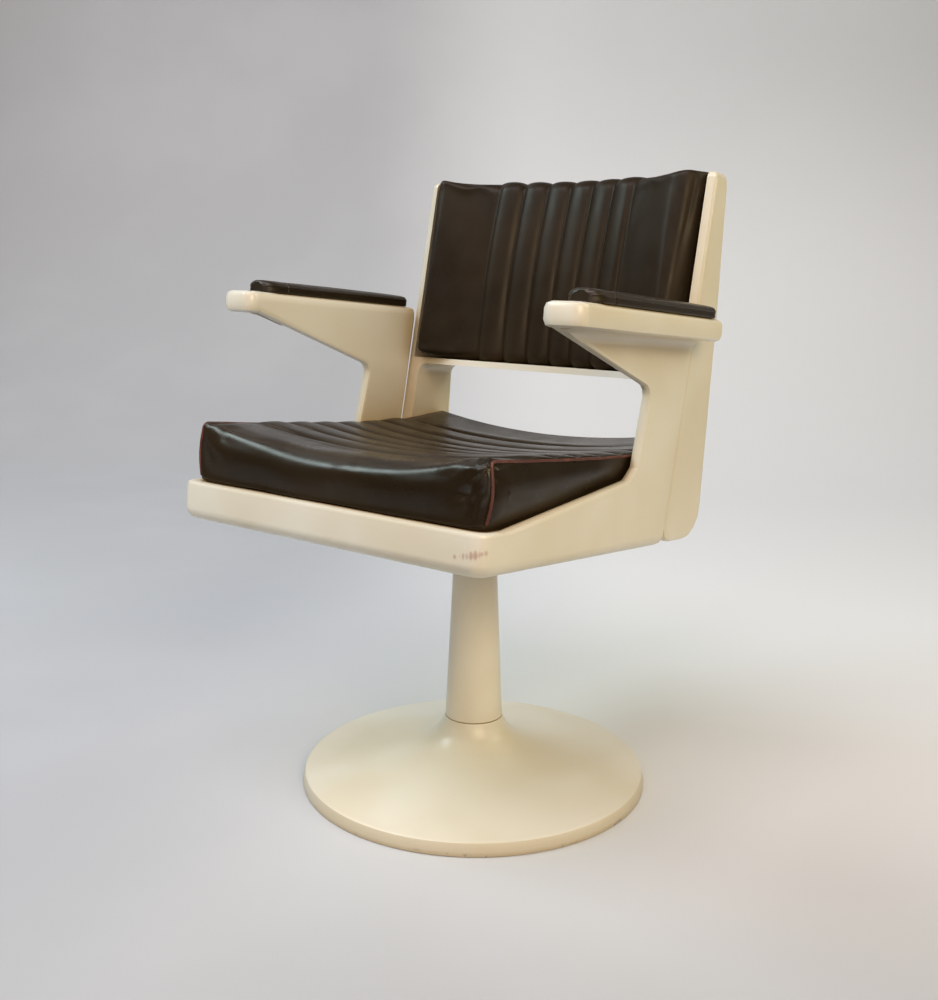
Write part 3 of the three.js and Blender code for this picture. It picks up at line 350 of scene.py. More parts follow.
def add_world():
    """A room that is dim near the horizon and bright overhead."""
    world = bpy.data.worlds.new("studio")
    world.use_nodes = True
    tree = NodeTree(world.node_tree, "Generated")
    share = tree.spread(tree.axis("Z"), sin(WORLD_LOW), sin(WORLD_HIGH))
    mixed = tree.mixed(share, WORLD_LOW_COLOUR, WORLD_HIGH_COLOUR)
    tree.feed(world.node_tree.nodes["Background"].inputs, {"Color": mixed})
    bpy.context.scene.world = world


def add_sweep():
    """A floor that curves up into a wall far behind the chair."""
    bend = SWEEP_BACK - SWEEP_RADIUS
    profile = [(SWEEP_FRONT, 0.0)]
    for a in np.linspace(0, pi / 2, SWEEP_STEPS):
        profile.append((bend + SWEEP_RADIUS * sin(a), SWEEP_RADIUS - SWEEP_RADIUS * cos(a)))
    profile.append((SWEEP_BACK, SWEEP_TOP))
    points = [(x, y, z) for x in (-SWEEP_SIDE, SWEEP_SIDE) for y, z in profile]
    count = len(profile)
    faces = [(i, i + 1, count + i + 1, count + i) for i in range(count - 1)]
    sweep = link_mesh("sweep", points, faces)
    sweep.data.shade_smooth()
    sweep.matrix_world = Matrix.Rotation(CAMERA_AZIMUTH, 4, "Z")
    sweep.data.materials.append(paper_material())


def paper_material():
    """Pale paper with painted light and shade: lighter on the right, darker near the camera and high on
    the right.
    """
    shader = Shader("paper", PAPER_SHADED_LEFT, 0.8)
    across, away, up = (shader.axis(name) for name in "XYZ")
    # Painted light: the paper is lighter towards the right
    toned = shader.mixed(shader.spread(across, -0.6, 0.35), PAPER_SHADED_LEFT, PAPER_LIT_RIGHT)
    # Painted shade near the camera and high on the right
    near = shader.spread(away, -0.75, 0.10, 0.85, 0)
    near = shader.maths("MULTIPLY", near, shader.spread(across, -0.6, 0.1, 0.4, 1))
    high = shader.spread(up, 0.5, 1.9)
    high = shader.maths("MULTIPLY", high, shader.spread(across, -1.0, 1.2, 0.05, 0.43))
    toned = shader.mixed(shader.maths("MAXIMUM", near, high), toned, PAPER_PAINTED_SHADE)
    cloudy = shader.spread(shader.noise(1.8, 3.0), 0.4, 0.7, 0.0, 0.08)
    shader.colour(shader.mixed(cloudy, toned, PAPER_BRIGHT))
    shader.bump(shader.noise(3.0, 2.0), PAPER_WAVE, 0.3)
    return shader.material


# Materials

SPOT_CORE = 0.3
PAINTED_SHADE_SAMPLES = 6


class NodeTree:
    """Short calls that add nodes to a tree, at places of the given kind."""

    def __init__(self, tree, places=None):
        self.tree = tree
        if places:
            self.place = self.add("ShaderNodeTexCoord", {})[places]

    def feed(self, inputs, values):
        """Links outputs of other nodes to inputs, or sets plain values on them."""
        for name, value in values.items():
            if isinstance(value, bpy.types.NodeSocket):
                self.tree.links.new(value, inputs[name])
            else:
                inputs[name].default_value = value

    def add(self, kind, values, **settings):
        """The outputs of a new node with the given inputs and settings."""
        made = self.tree.nodes.new(kind)
        for name, value in settings.items():
            setattr(made, name, value)
        self.feed(made.inputs, values)
        return made.outputs

    def noise(self, scale, detail=3.0, rough=0.5, stretch=None, distortion=0.0):
        place = self.place
        if stretch:
            place = self.add("ShaderNodeMapping", {"Vector": place, "Scale": stretch})["Vector"]
        values = {"Vector": place, "Scale": scale, "Detail": detail, "Roughness": rough}
        return self.add("ShaderNodeTexNoise", {**values, "Distortion": distortion})["Fac"]

    def cells(self, scale):
        return self.add("ShaderNodeTexVoronoi", {"Vector": self.place, "Scale": scale})["Distance"]

    def spread(self, value, low, high, to_low=0.0, to_high=1.0):
        """Maps a value from low..high to to_low..to_high, and holds it at the ends."""
        values = {"Value": value, "From Min": low, "From Max": high, "To Min": to_low, "To Max": to_high}
        return self.add("ShaderNodeMapRange", values, interpolation_type="SMOOTHSTEP")["Result"]

    def maths(self, operation, first, second):
        return self.add("ShaderNodeMath", {0: first, 1: second}, operation=operation)["Value"]

    def vector(self, operation, values):
        return self.add("ShaderNodeVectorMath", values, operation=operation)

    def mixed(self, share, first, second):
        """A mix of two colours: the first at a share of 0, the second at 1."""
        first, second = ((*c, 1) if isinstance(c, tuple) else c for c in (first, second))
        values = {"Factor": share, "A": first, "B": second}
        return self.add("ShaderNodeMix", values, data_type="RGBA")["Result"]

    def axis(self, name):
        return self.add("ShaderNodeSeparateXYZ", {"Vector": self.place})[name]

    def round_corner(self, centre, radius):
        """Places on the skin of an upright round corner. x is the way round it from its start."""
        beyond = self.maths("SUBTRACT", self.axis("X"), centre[0])
        ahead = self.maths("SUBTRACT", centre[1], self.axis("Y"))
        turned_by = self.maths("MAXIMUM", self.maths("ARCTAN2", beyond, ahead), 0)
        along = self.maths("MULTIPLY", turned_by, radius)
        along = self.maths("ADD", along, self.maths("MINIMUM", beyond, 0))
        return self.add("ShaderNodeCombineXYZ", {"X": along, "Z": self.axis("Z")})["Vector"]

    def near(self, place, size, where=None):
        """1 at a place, falling to 0 at the given half sizes from it."""
        away = self.vector("SUBTRACT", {0: where or self.place, 1: place})["Vector"]
        away = self.vector("DIVIDE", {0: away, 1: size})["Vector"]
        return self.spread(self.vector("LENGTH", {0: away})["Value"], SPOT_CORE, 1.0, 1.0, 0.0)

    def recess_shade(self, reach, low, high, most):
        """Share of painted shade: 0 on open skin, rising to a most in corners and hollows."""
        seen = self.add("ShaderNodeAmbientOcclusion", {"Distance": reach}, samples=PAINTED_SHADE_SAMPLES)
        return self.spread(seen["AO"], low, high, most, 0.0)


class Shader(NodeTree):
    """A material with its main shader."""

    def __init__(self, name, colour, roughness, metallic=0.0):
        self.material = bpy.data.materials.new(name)
        self.material.use_nodes = True
        super().__init__(self.material.node_tree, "Object")
        self.last_bump = None
        self.surface({"Base Color": (*colour, 1), "Roughness": roughness, "Metallic": metallic})

    def surface(self, values):
        self.feed(self.tree.nodes["Principled BSDF"].inputs, values)

    def colour(self, value):
        self.surface({"Base Color": value})

    def bump(self, value, depth, strength):
        """Raises the surface by a depth, on top of the bumps added before."""
        values = {"Height": value, "Distance": depth, "Strength": strength}
        if self.last_bump:
            values["Normal"] = self.last_bump
        self.last_bump = self.add("ShaderNodeBump", values)["Normal"]
        self.surface({"Normal": self.last_bump})


CREAM = (0.780, 0.715, 0.570)
CREAM_AGED = (0.740, 0.660, 0.500)
CREAM_PALE = (0.805, 0.750, 0.620)
# Brown of the shade painted into corners and hollows, and how far that painted shade reaches
CREAM_PAINTED_SHADE = (0.50, 0.36, 0.16)
PAINTED_SHADE_REACH = 90 * MM
SKIN_WAVE = 0.5 * MM


def lacquer(name, gloss):
    """Cream lacquer with slow yellowing, a slightly uneven skin and painted shade, browner, in corners
    and hollows.
    """
    shader = Shader(name, CREAM, gloss)
    slow = shader.spread(shader.noise(5.0, 2.0), 0.35, 0.65)
    toned = shader.mixed(slow, CREAM_AGED, CREAM_PALE)
    # Painted shade: the cream turns browner in corners and hollows, where shade falls
    toned = shader.mixed(shader.recess_shade(PAINTED_SHADE_REACH, 0.40, 1.0, 0.85), toned, CREAM_PAINTED_SHADE)
    shader.colour(toned)
    shader.bump(shader.noise(9.0, 2.0), SKIN_WAVE, 0.5)
    shader.surface({"Coat Weight": 0.15, "Coat Roughness": 0.12})
    return shader, toned


# A row of scuffs round the front corner of the shell: place along the skin, half width,
# half height, all in mm, and strength
SCUFFS = [(-6, 3.4, 3.8, 0.8), (0.6, 2.0, 2.6, 0.5), (5.3, 2.6, 5.6, 0.8), (9.6, 2.6, 5.2, 0.7),
          (14.2, 3.0, 6.6, 0.95), (18.6, 3.2, 7.2, 0.95), (22.4, 1.8, 5.0, 0.6), (24.8, 2.2, 3.2, 0.7),
          (29, 3.0, 4.2, 0.85)]
SCUFF_COLOUR = (0.52, 0.355, 0.275)
SCUFF_HEIGHT = 26 * MM
SCUFF_RISE = 0.20
CORNER_PLACE = (216.7 * MM, -284 * MM)
CORNER_RADIUS = 30 * MM
RUBBED_PLACE = (-246 * MM, -300 * MM, 25 * MM)
RUBBED_SIZE = (14 * MM, 30 * MM, 16 * MM)
RUBBED_COLOUR = (0.55, 0.38, 0.28)
DARK_DOT_PLACE = (217 * MM, -301 * MM, 49 * MM)
DARK_DOT_SIZE = (3.5 * MM, 3.5 * MM, 3.5 * MM)
DARK_DOT_COLOUR = (0.02, 0.015, 0.01)


def shell_material():
    """The shell, with scuffs by its front corners and a small dark dot on its rim."""
    shader, toned = lacquer("shell_lacquer", 0.30)
    worn = shader.spread(shader.noise(170.0, 2.0), 0.35, 0.60, 0.5, 1.0)
    corner = TILTED @ Vector((*CORNER_PLACE, SCUFF_HEIGHT))
    skin = shader.round_corner(corner, CORNER_RADIUS)
    for out, wide, tall, share in SCUFFS:
        place = (out * MM, 0, corner.z + SCUFF_RISE * out * MM)
        spot = shader.near(place, (wide * MM, 1, tall * MM), skin)
        spot = shader.maths("MULTIPLY", spot, shader.maths("MULTIPLY", worn, share))
        toned = shader.mixed(spot, toned, SCUFF_COLOUR)
    rubbed = shader.near(TILTED @ Vector(RUBBED_PLACE), RUBBED_SIZE)
    toned = shader.mixed(shader.maths("MULTIPLY", rubbed, 0.25), toned, RUBBED_COLOUR)
    # A small near-black dot on the rim
    dark_dot = shader.near(TILTED @ Vector(DARK_DOT_PLACE), DARK_DOT_SIZE)
    shader.colour(shader.mixed(dark_dot, toned, DARK_DOT_COLOUR))
    return shader.material


CHIP_HEIGHTS = (1 * MM, 8 * MM)
CHIP_COLOUR = (0.12, 0.10, 0.08)
FLOOR_DARK_HEIGHTS = (2 * MM, 22 * MM)
FLOOR_DARK_COLOUR = (0.42, 0.35, 0.25)


def foot_material():
    """The foot, with chips at its rim, and darker towards the floor."""
    shader, toned = lacquer("foot_lacquer", 0.36)
    low = shader.spread(shader.axis("Z"), *CHIP_HEIGHTS, 1.0, 0.0)
    chips = shader.spread(shader.noise(75.0, 3.0, 0.6), 0.60, 0.66)
    toned = shader.mixed(shader.maths("MULTIPLY", low, chips), toned, CHIP_COLOUR)
    # The rim turns darker towards the floor
    floor_dark = shader.spread(shader.axis("Z"), *FLOOR_DARK_HEIGHTS, 0.45, 0.0)
    shader.colour(shader.mixed(floor_dark, toned, FLOOR_DARK_COLOUR))
    return shader.material


LEATHER_DARK = (0.014, 0.0080, 0.0030)
LEATHER_RUBBED = (0.023, 0.0135, 0.0058)
LEATHER_TINT = (1.0, 0.95, 0.82, 1)
LEATHER_WAVE = 0.5 * MM
LEATHER_CREASE = 0.12 * MM
LEATHER_GRAIN = 0.06 * MM


def leatherette(name, scale, gloss, shine):
    """Dark brown coated cloth: fine grain, slow unevenness, browner where it is rubbed."""
    shader = Shader(name, LEATHER_DARK, gloss[0])
    slow = shader.spread(shader.noise(7.0, 3.0), 0.35, 0.7)
    fine = shader.spread(shader.noise(240.0, 3.0), 0.3, 0.7)
    toned = shader.mixed(slow, LEATHER_DARK, LEATHER_RUBBED)
    shader.colour(shader.mixed(shader.maths("MULTIPLY", fine, 0.3), toned, LEATHER_RUBBED))
    uneven = shader.spread(shader.noise(30.0, 4.0), 0.3, 0.7, *gloss)
    shader.surface({"Roughness": uneven, "Specular IOR Level": shine, "Specular Tint": LEATHER_TINT})
    shader.bump(shader.noise(28.0 * scale, 2.0), LEATHER_WAVE, 0.3)
    shader.bump(shader.noise(120.0, 2.0), LEATHER_CREASE, 0.35)
    shader.bump(shader.cells(950.0), LEATHER_GRAIN, 0.45)
    return shader.material


WELT_DARK = (0.085, 0.020, 0.011)
WELT_RUBBED = (0.17, 0.050, 0.027)
WELT_GRAIN = 0.05 * MM


def piping_material():
    """Rust-red coated cloth, paler where it is worn."""
    shader = Shader("piping_leatherette", WELT_DARK, 0.5)
    worn = shader.spread(shader.noise(55.0, 4.0, 0.6), 0.45, 0.70)
    shader.colour(shader.mixed(worn, WELT_DARK, WELT_RUBBED))
    shader.bump(shader.cells(900.0), WELT_GRAIN, 0.5)
    return shader.material


METAL_GRAIN = 0.03 * MM
NYLON_COLOURS = ((0.80, 0.77, 0.69), (0.70, 0.66, 0.56))
NYLON_GRAIN = 0.02 * MM
WOOD_GRAIN = 0.15 * MM


def metal(name, colour, roughness, metallic):
    """Bare metal, blotched by handling."""
    shader = Shader(name, colour, roughness, metallic)
    darker = tuple(0.75 * channel for channel in colour)
    shader.colour(shader.mixed(shader.noise(40.0, 4.0), colour, darker))
    uneven = shader.spread(shader.noise(90.0, 4.0), 0.3, 0.7, roughness - 0.06, roughness + 0.1)
    shader.surface({"Roughness": uneven})
    shader.bump(shader.noise(300.0, 3.0), METAL_GRAIN, 0.5)
    return shader.material


def nylon_material():
    shader = Shader("nylon", NYLON_COLOURS[0], 0.45)
    shader.colour(shader.mixed(shader.noise(50.0), *NYLON_COLOURS))
    shader.bump(shader.noise(400.0, 2.0), NYLON_GRAIN, 0.4)
    return shader.material


def board_material(name, light, dark, stretch):
    """Raw sheet wood with long streaks along the grain."""
    shader = Shader(name, light, 0.7)
    streaks = shader.noise(14.0, 5.0, 0.65, stretch=stretch, distortion=0.6)
    shader.colour(shader.mixed(shader.spread(streaks, 0.3, 0.7), light, dark))
    shader.bump(streaks, WOOD_GRAIN, 0.6)
    return shader.material


def dress(node, material):
    """Gives a CAD node its material."""
    slots = nodes[node].data.materials
    if len(slots) == 0:
        slots.append(material)
    for index in range(len(slots)):
        nodes[node].material_slots[index].material = material


# Shapes


def link_mesh(name, points, faces):
    mesh = bpy.data.meshes.new(name)
    mesh.from_pydata([tuple(p) for p in points], [], faces)
    mesh.update()
    piece = bpy.data.objects.new(name, mesh)
    bpy.context.scene.collection.objects.link(piece)
    return piece


def walls(levels, count, wrapped=False):
    """Quads between rings of count points each. A wrapped body joins its last ring to its first."""
    faces = []
    for level in range(levels if wrapped else levels - 1):
        a, b = level * count, (level + 1) % levels * count
        faces += [(a + i, a + (i + 1) % count, b + (i + 1) % count, b + i) for i in range(count)]
    return faces


def end_faces(total, count):
    """The first and the last ring as one face each."""
    return [tuple(range(count)), tuple(reversed(range(total - count, total)))]


def facing_out(piece):
    """Turns a closed body's faces outward and shades them smoothly."""
    shape = bmesh.new()
    shape.from_mesh(piece.data)
    bmesh.ops.recalc_face_normals(shape, faces=shape.faces)
    if shape.calc_volume(signed=True) < 0:
        bmesh.ops.reverse_faces(shape, faces=shape.faces)
    shape.to_mesh(piece.data)
    shape.free()
    piece.data.shade_smooth()
    return piece


def finish_piece(piece, body, material, replaced):
    """Gives a piece its material and its body, and hides the CAD node that it stands for."""
    piece.data.materials.append(material)
    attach(piece, body)
    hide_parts(replaced)


def finish_cushion(piece, material, node):
    """Places a soft piece on the tilted shell, in the stead of a CAD node."""
    piece.data.transform(TILTED)
    facing_out(piece)
    finish_piece(piece, "seat", material, node)


def turned(name, profile):
    """A turned ring: a closed loop of (radius, height) points, with its sharp edges kept."""
    points = []
    for step in range(TURNED_STEPS):
        angle = 2 * pi * step / TURNED_STEPS
        points += [(r * cos(angle), r * sin(angle), z) for r, z in profile]
    piece = facing_out(link_mesh(name, points, walls(TURNED_STEPS, len(profile), True)))
    piece.data.set_sharp_from_angle(angle=TURNED_SHARP)
    return piece


def curve_through(points, steps):
    """Points on a smooth curve through the given ones."""
    before = 2 * np.array(points[0]) - points[1]
    after = 2 * np.array(points[-1]) - points[-2]
    padded = [before, *map(np.array, points), after]
    made = []
    for a, b, c, d in zip(padded, padded[1:], padded[2:], padded[3:]):
        for t in np.arange(steps) / steps:
            made.append(0.5 * (2 * b + (c - a) * t + (2 * a - 5 * b + 4 * c - d) * t**2
                               + (3 * b - a - 3 * c + d) * t**3))
    return [tuple(p) for p in made] + [tuple(padded[-2])]


def make_foot():
    """The trumpet, its rim, its open underside and the bore round the stem's foot."""
    crease = FOOT_RADIUS - FOOT_RIM_SLOPE
    knots = []
    for out, up in FOOT_SHARES:
        knots.append((lerp(NECK_RADIUS, crease, out), lerp(FOOT_RIM_HEIGHT, NECK_HEIGHT, up)))
    top = curve_through(knots, FOOT_CURVE_STEPS)
    top[-1] = (crease - FOOT_RIM_EDGE, FOOT_RIM_HEIGHT + FOOT_CREASE_SHARE * FOOT_RIM_EDGE)
    rim = []
    for t in np.linspace(0, 1, FOOT_RIM_STEPS):
        height = lerp(FOOT_RIM_HEIGHT - FOOT_RIM_EDGE, FOOT_RIM_FOOT, t)
        rim.append((lerp(crease + FOOT_RIM_EDGE, FOOT_RADIUS, t), height))
    inner = FOOT_RADIUS - FOOT_WALL
    under = [(r, FOOT_RIM_LIFT) for r in (FOOT_RADIUS - FOOT_RIM_LIFT, inner)] + [(inner, FOOT_RIM_FOOT)]
    start, end = NECK_RADIUS + FOOT_WALL, inner - 2 * FOOT_WALL
    dome = [(r, z - FOOT_WALL) for r, z in reversed(top) if start < r < end]
    bore = [(NECK_RADIUS - NECK_WALL, dome[-1][1]), (NECK_RADIUS - NECK_WALL, NECK_HEIGHT)]
    foot = turned("foot_form", top + rim + under + dome + bore)
    finish_piece(foot, "base", foot_material(), "foot")


def make_stem():
    """The tapered tube, between the heights of its CAD node."""
    low, high = (corner.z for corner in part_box("stem"))
    outer = [(STEM_BOTTOM_RADIUS - STEM_EDGE, low), (STEM_BOTTOM_RADIUS, low + STEM_EDGE)]
    for t in np.linspace(*STEM_SHARES, STEM_STEPS):
        outer.append((lerp(STEM_BOTTOM_RADIUS, STEM_TOP_RADIUS, t), lerp(low, high, t)))
    outer.append((STEM_TOP_RADIUS - STEM_EDGE, high))
    inner = [(STEM_TOP_RADIUS - STEM_WALL, high), (STEM_BOTTOM_RADIUS - STEM_WALL, low)]
    stem = turned("stem_form", outer + inner)
    finish_piece(stem, "base", lacquer("stem_lacquer", 0.34)[0].material, "stem")


def close_leg_gap():
    """Brings the rear edges of the shell's side panels close to the legs of the back frame."""
    piece = nodes["seat_shell"]
    group = piece.vertex_groups.new(name="rear_edge")
    back = TILTED.inverted() @ piece.matrix_world
    for vertex in piece.data.vertices:
        x, y, z = back @ vertex.co
        rear = lerp(*PANEL_REAR, (z - PANEL_FOOT) / (PANEL_HEAD - PANEL_FOOT))
        if abs(x) < PANEL_INNER or y < rear - PANEL_EDGE or not PANEL_FOOT < z < ARM_UNDERSIDE:
            continue
        gap = frame_front(z) - rear - LEG_GAP
        share = smooth(z, *LEG_GAP_START) * (1 - smooth(z, *LEG_GAP_END))
        group.add([vertex.index], max(0, gap * share) / LEG_REACH, "REPLACE")
    moved = piece.modifiers.new("rear_edge", "DISPLACE")
    moved.direction = "Y"
    moved.mid_level = 0
    moved.strength = LEG_REACH
    moved.vertex_group = group.name


def soften(node):
    """Shades a moulded node smoothly, with its flat faces kept flat."""
    group = bpy.data.node_groups.new(f"{node}_shading", "GeometryNodeTree")
    for way in ("INPUT", "OUTPUT"):
        group.interface.new_socket("Geometry", in_out=way, socket_type="NodeSocketGeometry")
    tree = NodeTree(group)
    values = {"Geometry": tree.add("NodeGroupInput", {})[0], "Distance": MERGE_DISTANCE}
    merged = tree.add("GeometryNodeMergeByDistance", values)[0]
    angle = tree.add("GeometryNodeInputMeshEdgeAngle", {})["Unsigned Angle"]
    soft = tree.add("FunctionNodeCompare", {"A": angle, "B": SOFT_ANGLE}, operation="LESS_THAN")[0]
    faces = tree.add("GeometryNodeSetShadeSmooth", {"Geometry": merged})[0]
    values = {"Geometry": faces, "Shade Smooth": soft}
    tree.add("NodeGroupOutput", {0: tree.add("GeometryNodeSetShadeSmooth", values, domain="EDGE")[0]})
    piece = nodes[node]
    piece.modifiers.new("shading", "NODES").node_group = group
    weighted = piece.modifiers.new("weighted", "WEIGHTED_NORMAL")
    weighted.keep_sharp = True
    weighted.weight = FLAT_WEIGHT


# Cushions


def end_inset(distance, roll):
    """How far a section draws in at a distance from its rounded end."""
    if distance >= roll:
        return 0.0
    return roll - sqrt(roll * roll - (roll - distance) ** 2)


def end_stations(half, roll, middle):
    """Places from -half to half: close together in the rounded ends, as given between."""
    steps = max(5, round(roll / END_STEP))
    ends = sorted(half - roll * (1 - cos(a)) for a in np.linspace(0, pi / 2, steps))
    return [-e for e in reversed(ends)] + middle + ends


def cap_rings(ring, first, last, bulge):
    """Rings that close the end of a body towards a line, and bulge outward."""
    line = np.subtract(last, first)
    along = np.clip((ring - first) @ line / (line @ line), 0, 1)
    inward = first + along[:, None] * line - ring
    rings = []
    for share in CAP_SHARES:
        made = ring + inward * share
        made[:, 0] += bulge * sin(pi / 2 * min(1, CAP_BULGE_RATE * share))
        rings.append(made)
    return rings


def closed_body(name, rings, spines, bulge=0.0):
    """A body through rings of points, with its two ends closed towards their spines."""
    start = cap_rings(rings[0], *spines[0], -bulge)
    end = cap_rings(rings[-1], *spines[1], bulge)
    every = start[::-1] + list(rings) + end
    count = len(rings[0])
    points = np.concatenate(every)
    piece = link_mesh(name, points, walls(len(every), count) + end_faces(len(points), count))
    shape = bmesh.new()
    shape.from_mesh(piece.data)
    bmesh.ops.triangulate(shape, faces=[face for face in shape.faces if len(face.verts) > 4])
    shape.to_mesh(piece.data)
    shape.free()
    return piece, len(CAP_SHARES), count


def puff(piece, held, limit, ends):
    """Blows a body up as cloth. Held points and end caps stay, and none moves past the limit."""
    count = len(piece.data.vertices)
    group = piece.vertex_groups.new(name=CLOTH["vertex_group_mass"])
    group.add([*held, *range(ends), *range(count - ends, count)], 1.0, "REPLACE")
    rest = get_points(piece)
    modifier = piece.modifiers.new("cloth", "CLOTH")
    for name, value in CLOTH.items():
        setattr(modifier.settings, name, value)
    modifier.settings.effector_weights.gravity = 0
    modifier.collision_settings.use_collision = False
    modifier.collision_settings.use_self_collision = False
    scene = bpy.context.scene
    for step in range(CLOTH_FRAMES):
        scene.frame_set(1 + step)
    shaped = piece.evaluated_get(bpy.context.evaluated_depsgraph_get()).to_mesh()
    moved = np.array([v.co for v in shaped.vertices]) - rest
    piece.modifiers.clear()
    scene.frame_set(1)
    length = np.linalg.norm(moved, axis=1, keepdims=True)
    moved *= limit * np.tanh(length / limit) / np.maximum(length, TINY)
    set_points(piece, rest + moved)


def set_points(piece, points):
    piece.data.vertices.foreach_set("co", np.asarray(points, np.float32).ravel())
    piece.data.update()


def get_points(piece):
    return np.array([v.co for v in piece.data.vertices])


def crease_edges(piece, pairs, weight):
    """Keeps seams sharp when the body is subdivided."""
    wanted = {tuple(sorted(pair)) for pair in pairs}
    layer = piece.data.attributes.new("crease_edge", "FLOAT", "EDGE")
    for edge in piece.data.edges:
        if tuple(sorted(edge.vertices)) in wanted:
            layer.data[edge.index].value = weight


def subdivide(piece, levels=1):
    """Makes a piece's mesh finer and smooth."""
    modifier = piece.modifiers.new("fine", "SUBSURF")
    modifier.levels = modifier.render_levels = levels
    graph = bpy.context.evaluated_depsgraph_get()
    mesh = bpy.data.meshes.new_from_object(piece.evaluated_get(graph))
    piece.modifiers.clear()
    piece.data = mesh
    mesh.shade_smooth()


# Seat cushion


def seat_edge(y):
    """Height of the side edges, which dip between the front and the rear."""
    ahead = y < SEAT_LOW_PLACE
    end, height = (SEAT_FRONT, SEAT_EDGE_FRONT) if ahead else (SEAT_REAR, SEAT_EDGE_REAR)
    share = (y - SEAT_LOW_PLACE) / (end - SEAT_LOW_PLACE)
    return lerp(SEAT_EDGE_LOW, height, share * share)


def seat_reach(y):
    """Half width, which narrows between the side panels."""
    return lerp(SEAT_HALF, SEAT_TAIL_HALF, smooth(y, *SEAT_WAIST))


SEAT_SEAMS = [SEAT_SEAM_FIRST + k * SEAT_SEAM_PITCH for k in range(SEAT_RIBS + 1)]


def seat_crown(y):
    """Height of the top over its seams before it is blown up."""
    if y < SEAT_SEAMS[0]:
        return SEAT_PANEL_CROWN * rib(min(0.5, (SEAT_SEAMS[0] - y) / SEAT_PANEL_REACH))
    if y > SEAT_SEAMS[-1]:
        return SEAT_RIB_CROWN * rib(min(0.5, (y - SEAT_SEAMS[-1]) / SEAT_TAIL_REACH))
    return SEAT_RIB_CROWN * rib((y - SEAT_SEAMS[0]) / SEAT_SEAM_PITCH % 1)


def seat_section(u, inset):
    """One ring of the cushion at a share u of its half width: front, top, rear and bottom."""
    middle = 1 - abs(u) ** SEAT_ROLL_POWER
    front_roll = lerp(SEAT_CORNER_ROLL, SEAT_FRONT_ROLL, middle)
    rear_roll = lerp(SEAT_CORNER_ROLL, SEAT_REAR_ROLL, middle)
    corner = end_inset(SEAT_HALF * (1 - abs(u)), SEAT_CORNER_REACH) / SEAT_CORNER_REACH
    drawn = SEAT_CORNER_BACK if u > 0 else SEAT_FAR_CORNER_BACK
    front, rear = SEAT_FRONT + corner * drawn[0], SEAT_REAR - inset
    lean = corner * (drawn[1] - drawn[0])

    def top(y):
        height = seat_edge(y) - SEAT_DISH * (1 - u * u) - inset
        return height + seat_crown(y) * (1 - abs(u) ** SEAT_CROWN_POWER)

    section, labels = [], []

    def add(y, z, label):
        section.append((u * seat_reach(y), y, z))
        labels.append(label)

    start, end = front + lean + front_roll, rear - rear_roll
    head, tail = top(start), top(end)
    belly = SEAT_BELLY * (1 - corner)
    for t in np.linspace(0, 1, SEAT_FACE_ROWS)[:-1]:
        y = front + lean * t - belly * sin(pi / 2 * t)
        add(y, lerp(SEAT_BOTTOM, head - front_roll, t), "bottom" if t == 0 else "front")
    for a in np.linspace(0, pi / 2, SEAT_FACE_ROWS)[:-1]:
        y = front + lean + front_roll * (1 - cos(a)) - belly * cos(a)
        add(y, head - front_roll * (1 - sin(a)), "front")
    for y in np.linspace(start, SEAT_FIRST_ROW, SEAT_LEAD_ROWS)[:-1]:
        add(y, top(y), "top")
    stops = [SEAT_FIRST_ROW, *SEAT_SEAMS, SEAT_LAST_ROW]
    for low, high in zip(stops, stops[1:]):
        for y in evenly(low, high, GRID)[:-1]:
            add(y, top(y), "seam" if y in SEAT_SEAMS else "top")
    for y in np.linspace(SEAT_LAST_ROW, end, SEAT_TAIL_ROWS)[:-1]:
        add(y, top(y), "top")
    for a in np.linspace(pi / 2, 0, SEAT_REAR_ROLL_ROWS):
        add(rear - rear_roll * (1 - cos(a)), tail - rear_roll * (1 - sin(a)), "rear")
    for t in np.linspace(0, 1, SEAT_REAR_ROWS)[1:]:
        add(rear, lerp(tail - rear_roll, SEAT_BOTTOM, t), "bottom" if t == 1 else "rear")
    for y in np.linspace(rear, front, SEAT_BOTTOM_ROWS)[1:-1]:
        add(y, SEAT_BOTTOM, "bottom")
    return np.array(section), labels


def swollen(x, y, z):
    """A point of the cushion. Its free side swells out between the tray's rail and the welt."""
    along = min(1, max(0, (y - RAIL_FOOT[0]) / (RAIL_END[0] - RAIL_FOOT[0])))
    rail = lerp(RAIL_FOOT[1], RAIL_END[1], along)
    free = seat_edge(y) - rail
    share = min(1, max(0, (z - rail) / free))
    belly = SEAT_SIDE_BELLY * free / (SEAT_EDGE_FRONT - RAIL_FOOT[1]) * sin(pi * share)
    belly *= smooth(-y, *SEAT_SIDE_BELLY_FADE) * (abs(x) / SEAT_HALF) ** SEAT_BELLY_POWER
    return x + (belly if x > 0 else -belly), y, z


